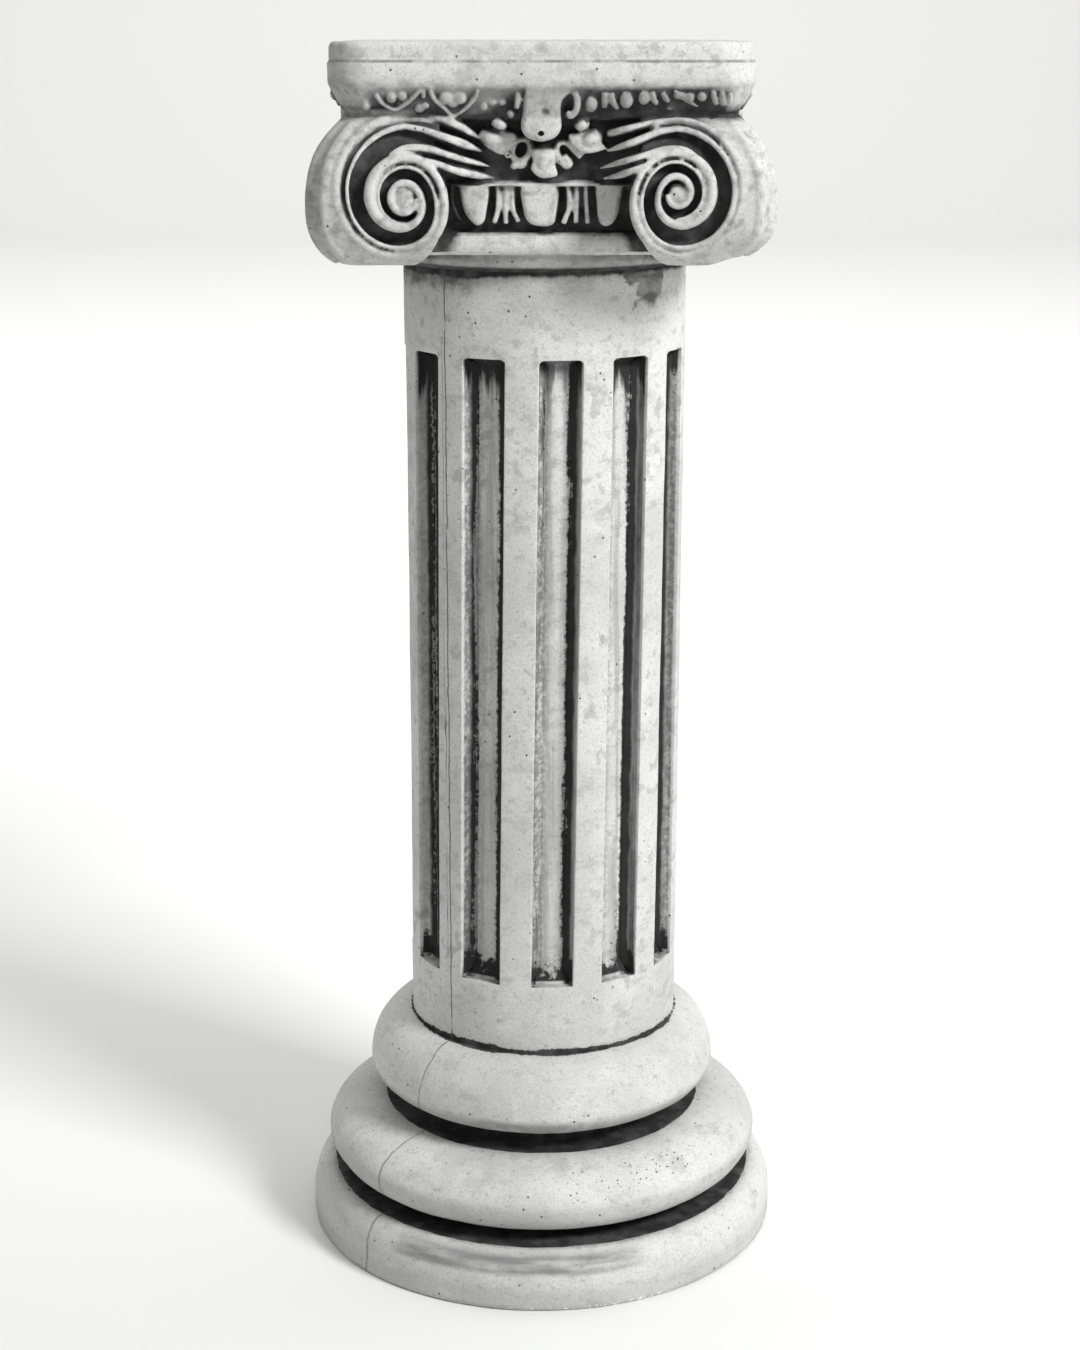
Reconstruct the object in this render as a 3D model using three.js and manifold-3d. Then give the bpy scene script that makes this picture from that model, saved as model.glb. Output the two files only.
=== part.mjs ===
// A garden column cast in one piece: a round base of two fat rings on a disc, a fluted shaft
// and a four-sided Ionic capital. Millimetres, +Z up, origin at the middle of the underside,
// the front face of the capital towards -Y.
import * as THREE from "three";
import { mergeVertices } from "three/addons/utils/BufferGeometryUtils.js";
import Module from "manifold-3d";

const wasm = await Module();
wasm.setup();

// Heights of the three parts of the column
const HEIGHT = 800;
const BASE_HEIGHT = 150.6;
const CAPITAL_HEIGHT = 135;

// Base disc: an upright side under a quarter-round shoulder
const DISC_RADIUS = 160.9;
const DISC_SIDE = 17.8;
const DISC_SHOULDER_WIDTH = 13.9;
const DISC_HEIGHT = 37.8;

// Lower ring: the level of its widest circle, and how far it draws in below and above
const LOWER_RING_RADIUS = 149.3;
const LOWER_RING_LEVEL = 63.2;
const LOWER_RING_UNDERCUT = 29;
const LOWER_RING_FOOT = 42.3;
const LOWER_RING_SHOULDER = 38.1;
const LOWER_RING_TOP = 87.2;

// Upper ring, which draws in to the shaft
const UPPER_RING_RADIUS = 119;
const UPPER_RING_LEVEL = 115;
const UPPER_RING_UNDERCUT = 26.5;
const UPPER_RING_FOOT = 98;

// How far the dark grooves under the rings go in behind the rings' lower edges
const GROOVE_DEPTH = 4.5;

// Shaft and its flutes
const SHAFT_RADIUS = 91;
const FLUTE_COUNT = 12;
const FLUTE_TURN = 6.4; // degrees, from the front to the nearest flute
const FLUTE_WIDTH = 25.6;
const FLUTE_DEPTH = 11;
const FLUTE_FLOOR_CORNER = 5;
const FLUTE_MARGIN = 47; // plain shaft below the flutes
const FLUTE_HEAD = 54.4; // plain shaft above the flutes
const FLUTE_SILL = 8; // rise of the sloping sill at the foot of a flute

// Capital: fillet ring, straight moulding, egg band, dark ground, abacus
const COLLAR_RADIUS = 101;
const COLLAR_HEIGHT = 11;
const BEAD_HALF = 107.5; // half the width over the straight moulding
const BEAD_HEIGHT = 13.5;
const EGG_BAND_HEIGHT = 28;
const EGG_BAND_HALF = 99;
const BEAD_ROUNDING = 4;
const GROUND_HALF = 103.5;
const GROUND_LIP = 6; // how far the edge over the eggs stands out from the ground
const GROUND_LIP_HEIGHT = 8;
const GROUND_COVE = 4; // how far the ground draws out again under the neck
const ABACUS_HALF = 125.6;
const ABACUS_CORNER = 20;
const ABACUS_HEIGHT = 25;
const ABACUS_STEP = 11; // depth of the thin upper band of the abacus
const ABACUS_STEP_INSET = 1;
const ABACUS_EDGE = 2.5; // fillet of the top edge
const NECK_HALF = 116.5; // under the carved moulding of the abacus
const MOULDING_HEIGHT = 18;
const MOULDING_BULGE = 3; // how far the moulding curves in and out at its two edges

// Volutes: the swelling corner masses and the scrolls on them
const SWELL_HALF = 138.6;
const SWELL_LEVEL = 41; // widest level, above the foot of the capital
const SWELL_TOP_DROP = 22;
const SWELL_FOOT_DROP = 18;
const SWELL_FOOT = 6.5; // foot of the corner masses, above the foot of the capital
const SWELL_CORNER = 16;
const EYE_OFFSET = 80; // from the middle of a face to the eye of each scroll
const EYE_LEVEL = 46; // above the foot of the capital
const EYE_RADIUS = 5.6;
const SCROLL_DEPTH = 9; // from the crest of the rim to the floor of its channel
const SCROLL_CREST = 4.2; // half the width of the rim at its foot
// Reach of the rim from the eye at each quarter turn: top, outer side, foot, inner side and on
const SCROLL_REACHES = [46, 42.7, 34.8, 24.5, 24.3, 23.4, 19, 11, 9.6, 9, 7];
const RIDGE_RISE = 5; // height of a swept ridge over the ground at its point
const SWEEP_TIP = 29; // from the middle of a face to the points of the swept ridges

// Eggs and the leaf darts between them
const EGG_PITCH = 41;
const EGG_WIDTH = 21;
const EGG_HEIGHT = 24;
const EGG_PROUD = 11;
const DART_WIDTH = 5;

// Flower in the middle of each face
const TONGUE_WIDTH = 23.6;
const TONGUE_HEIGHT = 32;
const TONGUE_PROUD = 21;
const COLLAR_LEAVES = 5;
const LEAF_REACH = 24;
const LEAF_LENGTH = 17;

// Carved moulding under the abacus
const HEART_PITCH = 35;
const HEART_WIDTH = 28;
const HEARTS_PER_SIDE = 2; // on each side of the flower

const ROUND_SEGMENTS = 40;
const QUARTER_STEPS = 3;
const SCROLL_STEPS = 21; // along the turns of a scroll

const SHAFT_TOP = HEIGHT - CAPITAL_HEIGHT;
const MOULDING_FOOT = HEIGHT - ABACUS_HEIGHT - MOULDING_HEIGHT;

// The closed solid of a geometry, with its corners merged.
function solid(geometry) {
  const bare = geometry.index ? geometry.toNonIndexed() : geometry.clone();
  bare.deleteAttribute("normal");
  bare.deleteAttribute("uv");
  const merged = mergeVertices(bare, 1e-3);
  return new wasm.Manifold(
    new wasm.Mesh({
      numProp: 3,
      vertProperties: merged.attributes.position.array,
      triVerts: new Uint32Array(merged.index.array),
    }),
  );
}

function geometryOf(made) {
  const mesh = made.getMesh();
  const geometry = new THREE.BufferGeometry();
  geometry.setAttribute("position", new THREE.BufferAttribute(mesh.vertProperties, 3));
  geometry.setIndex(new THREE.BufferAttribute(mesh.triVerts, 1));
  geometry.computeVertexNormals();
  return geometry;
}

function join(solids) {
  return solids.reduce((sum, next) => sum.add(next));
}

// Points of a quarter of an ellipse from one corner of its box to the opposite one. It leaves
// the first point upright or level, as asked, and ends the other way.
function quarter(from, to, leavesUpright) {
  const points = [];
  for (let step = 1; step <= QUARTER_STEPS; step++) {
    const angle = (step / QUARTER_STEPS) * (Math.PI / 2);
    const slow = 1 - Math.cos(angle);
    const fast = Math.sin(angle);
    const across = leavesUpright ? slow : fast;
    const up = leavesUpright ? fast : slow;
    points.push(
      new THREE.Vector2(
        THREE.MathUtils.lerp(from.x, to.x, across),
        THREE.MathUtils.lerp(from.y, to.y, up),
      ),
    );
  }
  return points;
}

// A turned solid about the Z axis from points of radius and level, from the foot up.
function turned(points, segments) {
  const profile = [...points].map((point) => new THREE.Vector2(point.x, point.y));
  return new THREE.LatheGeometry(profile, segments).rotateX(Math.PI / 2);
}

// A solid with a rounded square plan, from points of half width and level: a turned solid
// whose columns are moved to the corners' arcs.
function squareTurned(points, cornerRadius, cornerSteps) {
  const columns = 4 * (cornerSteps + 1);
  const geometry = turned(points, columns);
  const position = geometry.attributes.position;
  const rows = points.length;
  for (let index = 0; index < position.count; index++) {
    const column = Math.floor(index / rows) % columns;
    const corner = Math.floor(column / (cornerSteps + 1));
    const share = (column % (cornerSteps + 1)) / cornerSteps;
    const half = points[index % rows].x;
    const radius = Math.min(cornerRadius, half);
    const turn = (corner + share) * (Math.PI / 2);
    const side = corner * (Math.PI / 2) + Math.PI / 4;
    const reach = (half - radius) * Math.SQRT2;
    position.setX(index, reach * Math.sin(side) + radius * Math.sin(turn));
    position.setY(index, -reach * Math.cos(side) - radius * Math.cos(turn));
  }
  return geometry;
}

// A solid drawn in the plane of the front face, across and up, between two depths.
function frontPrism(shape, nearDepth, farDepth, curveSegments) {
  return new THREE.ExtrudeGeometry(shape, {
    depth: nearDepth - farDepth,
    bevelEnabled: false,
    curveSegments,
  })
    .rotateX(Math.PI / 2)
    .translate(0, -farDepth, 0);
}

// A ridge along a curve on the front face, with a narrow crest and a broad foot below it.
function ridge(curve, crestHalf, footHalf, crestRise, footDrop, steps) {
  const section = new THREE.Shape();
  section.moveTo(crestRise, crestHalf);
  section.lineTo(-footDrop, footHalf);
  section.lineTo(-footDrop, -footHalf);
  section.lineTo(crestRise, -crestHalf);
  section.closePath();
  return new THREE.ExtrudeGeometry(section, {
    steps,
    bevelEnabled: false,
    extrudePath: curve,
  });
}

function ball(across, deep, tall, x, depth, z, columns, rows) {
  return new THREE.SphereGeometry(1, columns, rows)
    .rotateX(Math.PI / 2)
    .scale(across, deep, tall)
    .translate(x, -depth, z);
}

function makeBaseAndShaft() {
  const discEdge = new THREE.Vector2(DISC_RADIUS, DISC_SIDE);
  const discTop = new THREE.Vector2(DISC_RADIUS - DISC_SHOULDER_WIDTH, DISC_HEIGHT);
  const lowerFoot = new THREE.Vector2(LOWER_RING_RADIUS - LOWER_RING_UNDERCUT, LOWER_RING_FOOT);
  const lowerSide = new THREE.Vector2(LOWER_RING_RADIUS, LOWER_RING_LEVEL);
  const lowerTop = new THREE.Vector2(LOWER_RING_RADIUS - LOWER_RING_SHOULDER, LOWER_RING_TOP);
  const upperFoot = new THREE.Vector2(UPPER_RING_RADIUS - UPPER_RING_UNDERCUT, UPPER_RING_FOOT);
  const upperSide = new THREE.Vector2(UPPER_RING_RADIUS, UPPER_RING_LEVEL);
  const shaftFoot = new THREE.Vector2(SHAFT_RADIUS, BASE_HEIGHT);
  const outline = [
    new THREE.Vector2(0, 0),
    new THREE.Vector2(DISC_RADIUS, 0),
    discEdge,
    ...quarter(discEdge, discTop, true),
    new THREE.Vector2(lowerFoot.x - GROOVE_DEPTH, DISC_HEIGHT),
    new THREE.Vector2(lowerFoot.x - GROOVE_DEPTH, LOWER_RING_FOOT),
    lowerFoot,
    ...quarter(lowerFoot, lowerSide, false),
    ...quarter(lowerSide, lowerTop, true),
    new THREE.Vector2(upperFoot.x - GROOVE_DEPTH, LOWER_RING_TOP),
    new THREE.Vector2(upperFoot.x - GROOVE_DEPTH, UPPER_RING_FOOT),
    upperFoot,
    ...quarter(upperFoot, upperSide, false),
    ...quarter(upperSide, shaftFoot, true),
    new THREE.Vector2(SHAFT_RADIUS, SHAFT_TOP + COLLAR_HEIGHT / 2),
    new THREE.Vector2(0, SHAFT_TOP + COLLAR_HEIGHT / 2),
  ];
  return solid(turned(outline, ROUND_SEGMENTS));
}

// The hollow of one flute, at the front: square upper end, rounded floor corners and a sloping
// sill at the foot.
function makeFluteHollow() {
  const half = FLUTE_WIDTH / 2;
  const floor = SHAFT_RADIUS - FLUTE_DEPTH;
  const mouth = SHAFT_RADIUS + FLUTE_DEPTH;
  const section = new THREE.Shape();
  section.moveTo(-half, -mouth);
  section.lineTo(half, -mouth);
  section.lineTo(half, -floor - FLUTE_FLOOR_CORNER);
  section.quadraticCurveTo(half, -floor, half - FLUTE_FLOOR_CORNER, -floor);
  section.lineTo(FLUTE_FLOOR_CORNER - half, -floor);
  section.quadraticCurveTo(-half, -floor, -half, -floor - FLUTE_FLOOR_CORNER);
  section.closePath();
  const foot = BASE_HEIGHT + FLUTE_MARGIN;
  const head = SHAFT_TOP - FLUTE_HEAD;
  const geometry = new THREE.ExtrudeGeometry(section, {
    depth: head - foot,
    bevelEnabled: false,
    curveSegments: 2,
  });
  const position = geometry.attributes.position;
  for (let index = 0; index < position.count; index++) {
    if (position.getZ(index) > 0) continue;
    const sunk = (SHAFT_RADIUS + position.getY(index)) / FLUTE_DEPTH;
    position.setZ(index, sunk * FLUTE_SILL);
  }
  return solid(geometry.translate(0, 0, foot));
}

function cutFlutes(shaft) {
  const hollow = makeFluteHollow();
  let fluted = shaft;
  for (let count = 0; count < FLUTE_COUNT; count++) {
    fluted = fluted.subtract(hollow.rotate([0, 0, FLUTE_TURN + (count * 360) / FLUTE_COUNT]));
  }
  return fluted;
}

// Half width of the swelling corner masses at a level.
function swellHalf(level) {
  const widest = SHAFT_TOP + SWELL_LEVEL;
  if (level > widest) {
    const share = (level - widest) / (MOULDING_FOOT - widest);
    return SWELL_HALF - SWELL_TOP_DROP * Math.pow(share, 2.6);
  }
  const share = (widest - level) / (SWELL_LEVEL - SWELL_FOOT);
  return SWELL_HALF - SWELL_FOOT_DROP * Math.pow(share, 3);
}

function makeSwell(inset) {
  const levels = [0, 0.12, 0.35, 0.6, 0.8, 0.92, 1];
  const foot = SHAFT_TOP + SWELL_FOOT;
  const points = levels.map((share) => {
    const level = THREE.MathUtils.lerp(foot, MOULDING_FOOT, share);
    return new THREE.Vector2(swellHalf(level) - inset, level);
  });
  points.unshift(new THREE.Vector2(0, foot));
  points.push(new THREE.Vector2(0, MOULDING_FOOT));
  return solid(squareTurned(points, SWELL_CORNER - inset / 2, 2));
}

// The square middle of the capital, from the straight moulding under the eggs to the top.
function makeCore() {
  const beadFoot = SHAFT_TOP + COLLAR_HEIGHT;
  const eggFoot = beadFoot + BEAD_HEIGHT;
  const eggTop = eggFoot + EGG_BAND_HEIGHT;
  const abacusFoot = HEIGHT - ABACUS_HEIGHT;
  const step = HEIGHT - ABACUS_STEP;
  const points = [
    [0, beadFoot],
    [BEAD_HALF - BEAD_ROUNDING, beadFoot],
    [BEAD_HALF, beadFoot + BEAD_HEIGHT / 3],
    [BEAD_HALF, beadFoot + (BEAD_HEIGHT * 2) / 3],
    [BEAD_HALF - BEAD_ROUNDING, eggFoot],
    [EGG_BAND_HALF, eggFoot],
    [EGG_BAND_HALF, eggTop],
    [GROUND_HALF + GROUND_LIP, eggTop],
    [GROUND_HALF + GROUND_LIP / 6, eggTop + GROUND_LIP_HEIGHT],
    [GROUND_HALF, (eggTop + MOULDING_FOOT) / 2],
    [GROUND_HALF + GROUND_COVE, MOULDING_FOOT - GROUND_COVE / 2],
    [NECK_HALF, MOULDING_FOOT],
    [NECK_HALF + MOULDING_BULGE / 2, MOULDING_FOOT + MOULDING_BULGE],
    [ABACUS_HALF - MOULDING_BULGE, abacusFoot - 2 * MOULDING_BULGE],
    [ABACUS_HALF, abacusFoot],
    [ABACUS_HALF, step - ABACUS_STEP_INSET],
    [ABACUS_HALF - 1.6 * ABACUS_STEP_INSET, step],
    [ABACUS_HALF - ABACUS_STEP_INSET, step + ABACUS_STEP_INSET],
    [ABACUS_HALF - ABACUS_STEP_INSET, HEIGHT - ABACUS_EDGE],
    [ABACUS_HALF - ABACUS_STEP_INSET - ABACUS_EDGE, HEIGHT],
    [0, HEIGHT],
  ].map(([half, level]) => new THREE.Vector2(half, level));
  return solid(squareTurned(points, ABACUS_CORNER, 3));
}

// The outline of a corner mass seen from the front: round the scroll on its inner side, and
// open past the corner.
function scrollOutline(side) {
  const eye = SHAFT_TOP + EYE_LEVEL;
  const inner = SCROLL_REACHES[3] + SCROLL_CREST;
  const foot = EYE_LEVEL - SWELL_FOOT;
  const top = MOULDING_FOOT - eye;
  const far = SWELL_HALF + SCROLL_DEPTH;
  const shape = new THREE.Shape();
  shape.moveTo(side * far, eye - foot);
  shape.lineTo(side * EYE_OFFSET, eye - foot);
  const steps = 6;
  for (let step = 1; step <= steps; step++) {
    const angle = (step / steps) * Math.PI;
    const reach = angle < Math.PI / 2 ? foot : top;
    shape.lineTo(
      side * (EYE_OFFSET - inner * Math.sin(angle)),
      eye - reach * Math.cos(angle),
    );
  }
  shape.lineTo(side * far, eye + top);
  shape.closePath();
  return shape;
}

// The sunk floor of a scroll, inside the crest of its rim and open towards the swept ridges.
function scrollFloor(side) {
  const eye = SHAFT_TOP + EYE_LEVEL;
  const [top, outer, foot, inner] = SCROLL_REACHES.map((reach) => reach - SCROLL_CREST * 0.8);
  const shape = new THREE.Shape();
  const steps = 12;
  for (let step = 0; step < steps; step++) {
    const angle = (step / steps) * Math.PI * 2;
    const isUpper = Math.cos(angle) > 0;
    const isOuter = Math.sin(angle) > 0;
    const tall = isUpper ? top : foot;
    const wide = isUpper || isOuter ? outer : inner;
    const x = side * (EYE_OFFSET + wide * Math.sin(angle));
    const z = eye + tall * Math.cos(angle);
    if (step === 0) shape.moveTo(x, z);
    else shape.lineTo(x, z);
  }
  shape.closePath();
  return shape;
}

// Turns a solid to all four faces and joins the copies.
function onAllFaces(made) {
  return join([0, 1, 2, 3].map((face) => made.rotate([0, 0, face * 90])));
}

// The four corner masses with their sunk scroll floors.
function makeCornerMasses() {
  const near = SWELL_HALF + SCROLL_DEPTH;
  const bothSides = (outline, farDepth) =>
    join([-1, 1].map((side) => solid(frontPrism(outline(side), near, farDepth, 6))));
  const half = bothSides(scrollOutline, 0);
  const across = half.add(half.rotate([0, 0, 180]));
  const lengthwise = across.rotate([0, 0, 90]);
  const sinking = onAllFaces(bothSides(scrollFloor, GROUND_HALF));
  const masses = makeSwell(0).subtract(sinking).add(makeSwell(SCROLL_DEPTH));
  return masses.intersect(across).intersect(lengthwise);
}

// Depth of the face in front of the axis for a ridge at a place across and up the face: on the
// ground in the middle, and on the swelling masses outside.
function ridgeDepth(across, level) {
  const outward = THREE.MathUtils.smoothstep(
    Math.abs(across),
    SWEEP_TIP,
    EYE_OFFSET - SCROLL_REACHES[3],
  );
  return THREE.MathUtils.lerp(GROUND_HALF + RIDGE_RISE, swellHalf(level), outward);
}

function facePoint(across, level) {
  return new THREE.Vector3(across, -ridgeDepth(across, level), level);
}

// A curve on the face through the points, with one step of a ridge from each to the next.
function curveThrough(points) {
  const curve = new THREE.CatmullRomCurve3(points);
  curve.getPointAt = curve.getPoint;
  curve.getTangentAt = curve.getTangent;
  return curve;
}

// The rim of a scroll: a swept ridge from the middle of the face, then turn after turn to the
// eye, in longer steps as the turns grow small.
function makeScroll(side) {
  const eye = SHAFT_TOP + EYE_LEVEL;
  const points = [
    facePoint(side * SWEEP_TIP, eye + 27),
    facePoint(side * (SWEEP_TIP + 24), eye + 39),
  ];
  const reaches = new THREE.SplineCurve(
    SCROLL_REACHES.map((reach, index) => new THREE.Vector2(index, reach)),
  );
  const wholeTurn = (SCROLL_REACHES.length - 1) * (Math.PI / 2);
  for (let step = 0; step <= SCROLL_STEPS; step++) {
    const share = step / SCROLL_STEPS;
    const turned = share * (0.65 + 0.35 * share);
    const reach = reaches.getPoint(turned).y;
    const across = EYE_OFFSET + reach * Math.sin(turned * wholeTurn);
    const level = eye + reach * Math.cos(turned * wholeTurn);
    points.push(facePoint(side * across, level));
  }
  const foot = SCROLL_DEPTH + 1.5;
  const rim = ridge(curveThrough(points), SCROLL_CREST * 0.5, SCROLL_CREST, 0, foot, points.length - 1);
  const depth = swellHalf(eye) - SCROLL_DEPTH;
  const boss = ball(EYE_RADIUS, SCROLL_DEPTH, EYE_RADIUS, side * EYE_OFFSET, depth, eye, 6, 3);
  return join([solid(rim), solid(boss)]);
}

// The lower swept leaf of a scroll, from a point over the second turn to the middle.
function makeSweep(side) {
  const eye = SHAFT_TOP + EYE_LEVEL;
  const points = [
    [SWEEP_TIP, eye + 9],
    [SWEEP_TIP + 18, eye + 21],
    [SWEEP_TIP + 38, eye + 31],
    [EYE_OFFSET + 6, eye + 31],
  ].map(([across, level]) => facePoint(side * across, level));
  const foot = SCROLL_DEPTH + 1.5;
  return solid(ridge(curveThrough(points), SCROLL_CREST * 0.4, SCROLL_CREST, -1, foot, 3));
}

// Flat-topped eggs, with a dart of three splayed strokes on each side of the middle one.
function makeEggBand() {
  const foot = SHAFT_TOP + COLLAR_HEIGHT + BEAD_HEIGHT + 3;
  const top = foot + EGG_HEIGHT + 1.5;
  const solids = [];
  for (const place of [-1, 0, 1]) {
    const half = (EGG_WIDTH / 2) * (place === 0 ? 1 : 0.85);
    const profile = [
      [0, foot],
      [half * 0.62, foot + 2],
      [half * 0.95, foot + EGG_HEIGHT * 0.35],
      [half, top],
      [0, top],
    ].map(([radius, level]) => new THREE.Vector2(radius, level));
    const egg = turned(profile, 8).scale(1, EGG_PROUD / half, 1);
    solids.push(solid(egg.translate(place * EGG_PITCH, -EGG_BAND_HALF, 0)));
  }
  for (const side of [-1, 1]) {
    for (const stroke of [-1, 0, 1]) {
      const middle = (side * EGG_PITCH) / 2;
      const line = new THREE.LineCurve3(
        new THREE.Vector3(middle + stroke * DART_WIDTH, -EGG_BAND_HALF - 6, top),
        new THREE.Vector3(middle + stroke * DART_WIDTH * 1.4, -EGG_BAND_HALF - 7, foot),
      );
      solids.push(solid(ridge(line, DART_WIDTH * 0.25, DART_WIDTH * 0.45, 0, 9, 1)));
    }
  }
  return join(solids);
}

// A smooth tongue over a ruffled collar of leaves, with a berry and a curl on each side.
function makeFlower() {
  const half = TONGUE_WIDTH / 2;
  const top = HEIGHT - ABACUS_HEIGHT + 1;
  const tip = top - TONGUE_HEIGHT;
  const shape = new THREE.Shape();
  shape.moveTo(half, top);
  shape.lineTo(-half, top);
  shape.lineTo(-half, tip + half);
  shape.absarc(0, tip + half, half, Math.PI, Math.PI * 2, false);
  shape.closePath();
  const tongue = new THREE.ExtrudeGeometry(shape, {
    depth: TONGUE_PROUD - 3,
    bevelThickness: 3,
    bevelSize: 3,
    bevelOffset: -3,
    bevelSegments: 1,
    curveSegments: 3,
  })
    .rotateX(Math.PI / 2)
    .translate(0, -GROUND_HALF, 0);
  const solids = [solid(tongue)];
  const middle = tip + half;
  for (let leaf = 0; leaf < COLLAR_LEAVES; leaf++) {
    const angle = (leaf / (COLLAR_LEAVES - 1) - 0.5) * Math.PI * 0.78;
    const blade = ball(LEAF_LENGTH * 0.45, 8, LEAF_LENGTH * 0.62, 0, 0, 0, 5, 4)
      .rotateY(-angle)
      .translate(
        LEAF_REACH * Math.sin(angle),
        -GROUND_HALF - 3,
        middle - LEAF_REACH * Math.cos(angle),
      );
    solids.push(solid(blade));
  }
  for (const side of [-1, 1]) {
    solids.push(solid(ball(4, 7, 4, side * (half + 12), GROUND_HALF + 3, middle + 5, 5, 4)));
    solids.push(solid(ball(4.5, 8, 9, side * (half + 5), GROUND_HALF + 9, top - 14, 5, 4)));
  }
  return join(solids);
}

// The V outlines of the hearts on the moulding under the abacus, leaning outwards with it.
function makeHearts() {
  const lean = Math.atan2(ABACUS_HALF - NECK_HALF, MOULDING_HEIGHT);
  const half = HEART_WIDTH / 2;
  const tall = MOULDING_HEIGHT / Math.cos(lean);
  const stroke = 3.2;
  const shape = new THREE.Shape();
  shape.moveTo(0, 0);
  shape.lineTo(half, tall * 0.7);
  shape.lineTo(half - stroke, tall * 0.82);
  shape.lineTo(0, stroke * 1.4);
  shape.lineTo(stroke - half, tall * 0.82);
  shape.lineTo(-half, tall * 0.7);
  shape.closePath();
  const solids = [];
  for (let count = 0; count < 2 * HEARTS_PER_SIDE; count++) {
    const side = count % 2 === 0 ? 1 : -1;
    const across = side * HEART_PITCH * (Math.floor(count / 2) + 1.5);
    const outline = new THREE.ExtrudeGeometry(shape, { depth: 6, bevelEnabled: false })
      .rotateX(Math.PI / 2)
      .translate(0, 4.4, 0);
    outline.rotateX(lean).translate(across, -NECK_HALF - 0.5, MOULDING_FOOT + 1);
    solids.push(solid(outline));
  }
  return join(solids);
}

function makeCapital() {
  const collar = solid(
    turned(
      [
        new THREE.Vector2(0, SHAFT_TOP),
        new THREE.Vector2(COLLAR_RADIUS - 2, SHAFT_TOP),
        new THREE.Vector2(COLLAR_RADIUS, SHAFT_TOP + 3),
        new THREE.Vector2(COLLAR_RADIUS, SHAFT_TOP + COLLAR_HEIGHT + 1),
        new THREE.Vector2(0, SHAFT_TOP + COLLAR_HEIGHT + 1),
      ],
      ROUND_SEGMENTS / 2,
    ),
  );
  const carving = [makeEggBand(), makeFlower(), makeHearts()];
  for (const side of [-1, 1]) {
    carving.push(makeScroll(side), makeSweep(side));
  }
  return join([collar, makeCore(), makeCornerMasses(), onAllFaces(join(carving))]);
}

const concrete = new THREE.MeshStandardMaterial({
  color: 0xbdbdba,
  roughness: 0.88,
  metalness: 0,
});

const column = new THREE.Mesh(
  geometryOf(cutFlutes(makeBaseAndShaft()).add(makeCapital())),
  concrete,
);
column.name = "column";

const group = new THREE.Group();
group.add(column);

export default group;
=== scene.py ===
import math

import bpy
import numpy as np
from mathutils import Matrix, Vector
from mathutils.bvhtree import BVHTree


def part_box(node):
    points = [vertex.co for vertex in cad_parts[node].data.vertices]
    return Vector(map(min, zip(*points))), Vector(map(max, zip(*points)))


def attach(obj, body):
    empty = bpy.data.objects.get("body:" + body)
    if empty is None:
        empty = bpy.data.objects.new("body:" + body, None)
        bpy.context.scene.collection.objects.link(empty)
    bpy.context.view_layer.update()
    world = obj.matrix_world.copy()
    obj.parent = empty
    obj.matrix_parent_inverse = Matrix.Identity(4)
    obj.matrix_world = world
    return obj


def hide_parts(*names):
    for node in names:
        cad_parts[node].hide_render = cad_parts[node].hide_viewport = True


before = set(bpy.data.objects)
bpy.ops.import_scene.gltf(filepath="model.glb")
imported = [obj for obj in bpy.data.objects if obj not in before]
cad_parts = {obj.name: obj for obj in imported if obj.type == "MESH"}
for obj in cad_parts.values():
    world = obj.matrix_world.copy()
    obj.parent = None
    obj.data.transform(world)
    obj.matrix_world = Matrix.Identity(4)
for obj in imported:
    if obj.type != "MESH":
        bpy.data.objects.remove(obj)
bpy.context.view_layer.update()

MM = 0.001
NODE = "column"
BOX_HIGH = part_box(NODE)[1]
HEIGHT = BOX_HIGH.z / MM
BASE_HEIGHT = 150.6
CAPITAL_HEIGHT = 135.0
SHAFT_TOP = HEIGHT - CAPITAL_HEIGHT

# Base, millimetres: radius and level of the corners between its round stretches
DISC_RADIUS = BOX_HIGH.x / MM
DISC_SIDE = 17.8
DISC_TOP = (DISC_RADIUS - 13.9, 37.8)
LOWER_RING_FOOT = (120.3, 42.3)
LOWER_RING_SIDE = (149.3, 63.2)
LOWER_RING_TOP = (111.2, 87.2)
UPPER_RING_FOOT = (92.5, 98.0)
UPPER_RING_SIDE = (119.0, 115.0)
GROOVE_DEPTH = 4.5
FOOT_FILLET = 1.5
FLAT_UNDERSIDE = 0.9
BASE_STEPS = 200

# Shaft and flutes
SHAFT_RADIUS = 91.0
SHAFT_STEPS = 360
FLUTE_COUNT = 12
FLUTE_PITCH = 360 / FLUTE_COUNT
FLUTE_TURN = 6.4
FLUTE_HALF_ANGLE = 8.0
FLUTE_WALL = 6.5
FLUTE_FLOOR_DROP = 4.5
FLUTE_FLOOR_INSET = 4.2
FLUTE_SILL = 5.0
FLUTE_HEAD_ROUND = 1.9
FLUTE_HEAD_CORNER = (6.0, 8.3)
FLUTE_EDGE = 1.3
FLUTE_FOOT = BASE_HEIGHT + 47.0
FLUTE_HEAD = SHAFT_TOP - 54.4
# Cuts across the fluted length, and the levels of those above and below it
SHAFT_RINGS = 54
SHAFT_CUTS = (BASE_HEIGHT, 155.0, 162.0, 172.0, 184.0, 192.0, 618.0, 628.0, 640.0, 652.0, 660.0)
# The casting's small faults, in degrees and millimetres: its flutes wind a little and stand aside near
# the mould seam, and the shaft stands a little to the right
FLUTE_WIND_LEVEL = 575.0
FLUTE_WIND = 0.0072
FLUTE_WIDER = 0.6
SEAM_SHIFT = 2.8
SEAM_SHIFT_MIDDLE = -70.0
SEAM_SHIFT_REACH = (10.0, 75.0)
SHAFT_OFF_FOOT = 1.3
SHAFT_OFF_HEAD = 2.2

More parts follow.
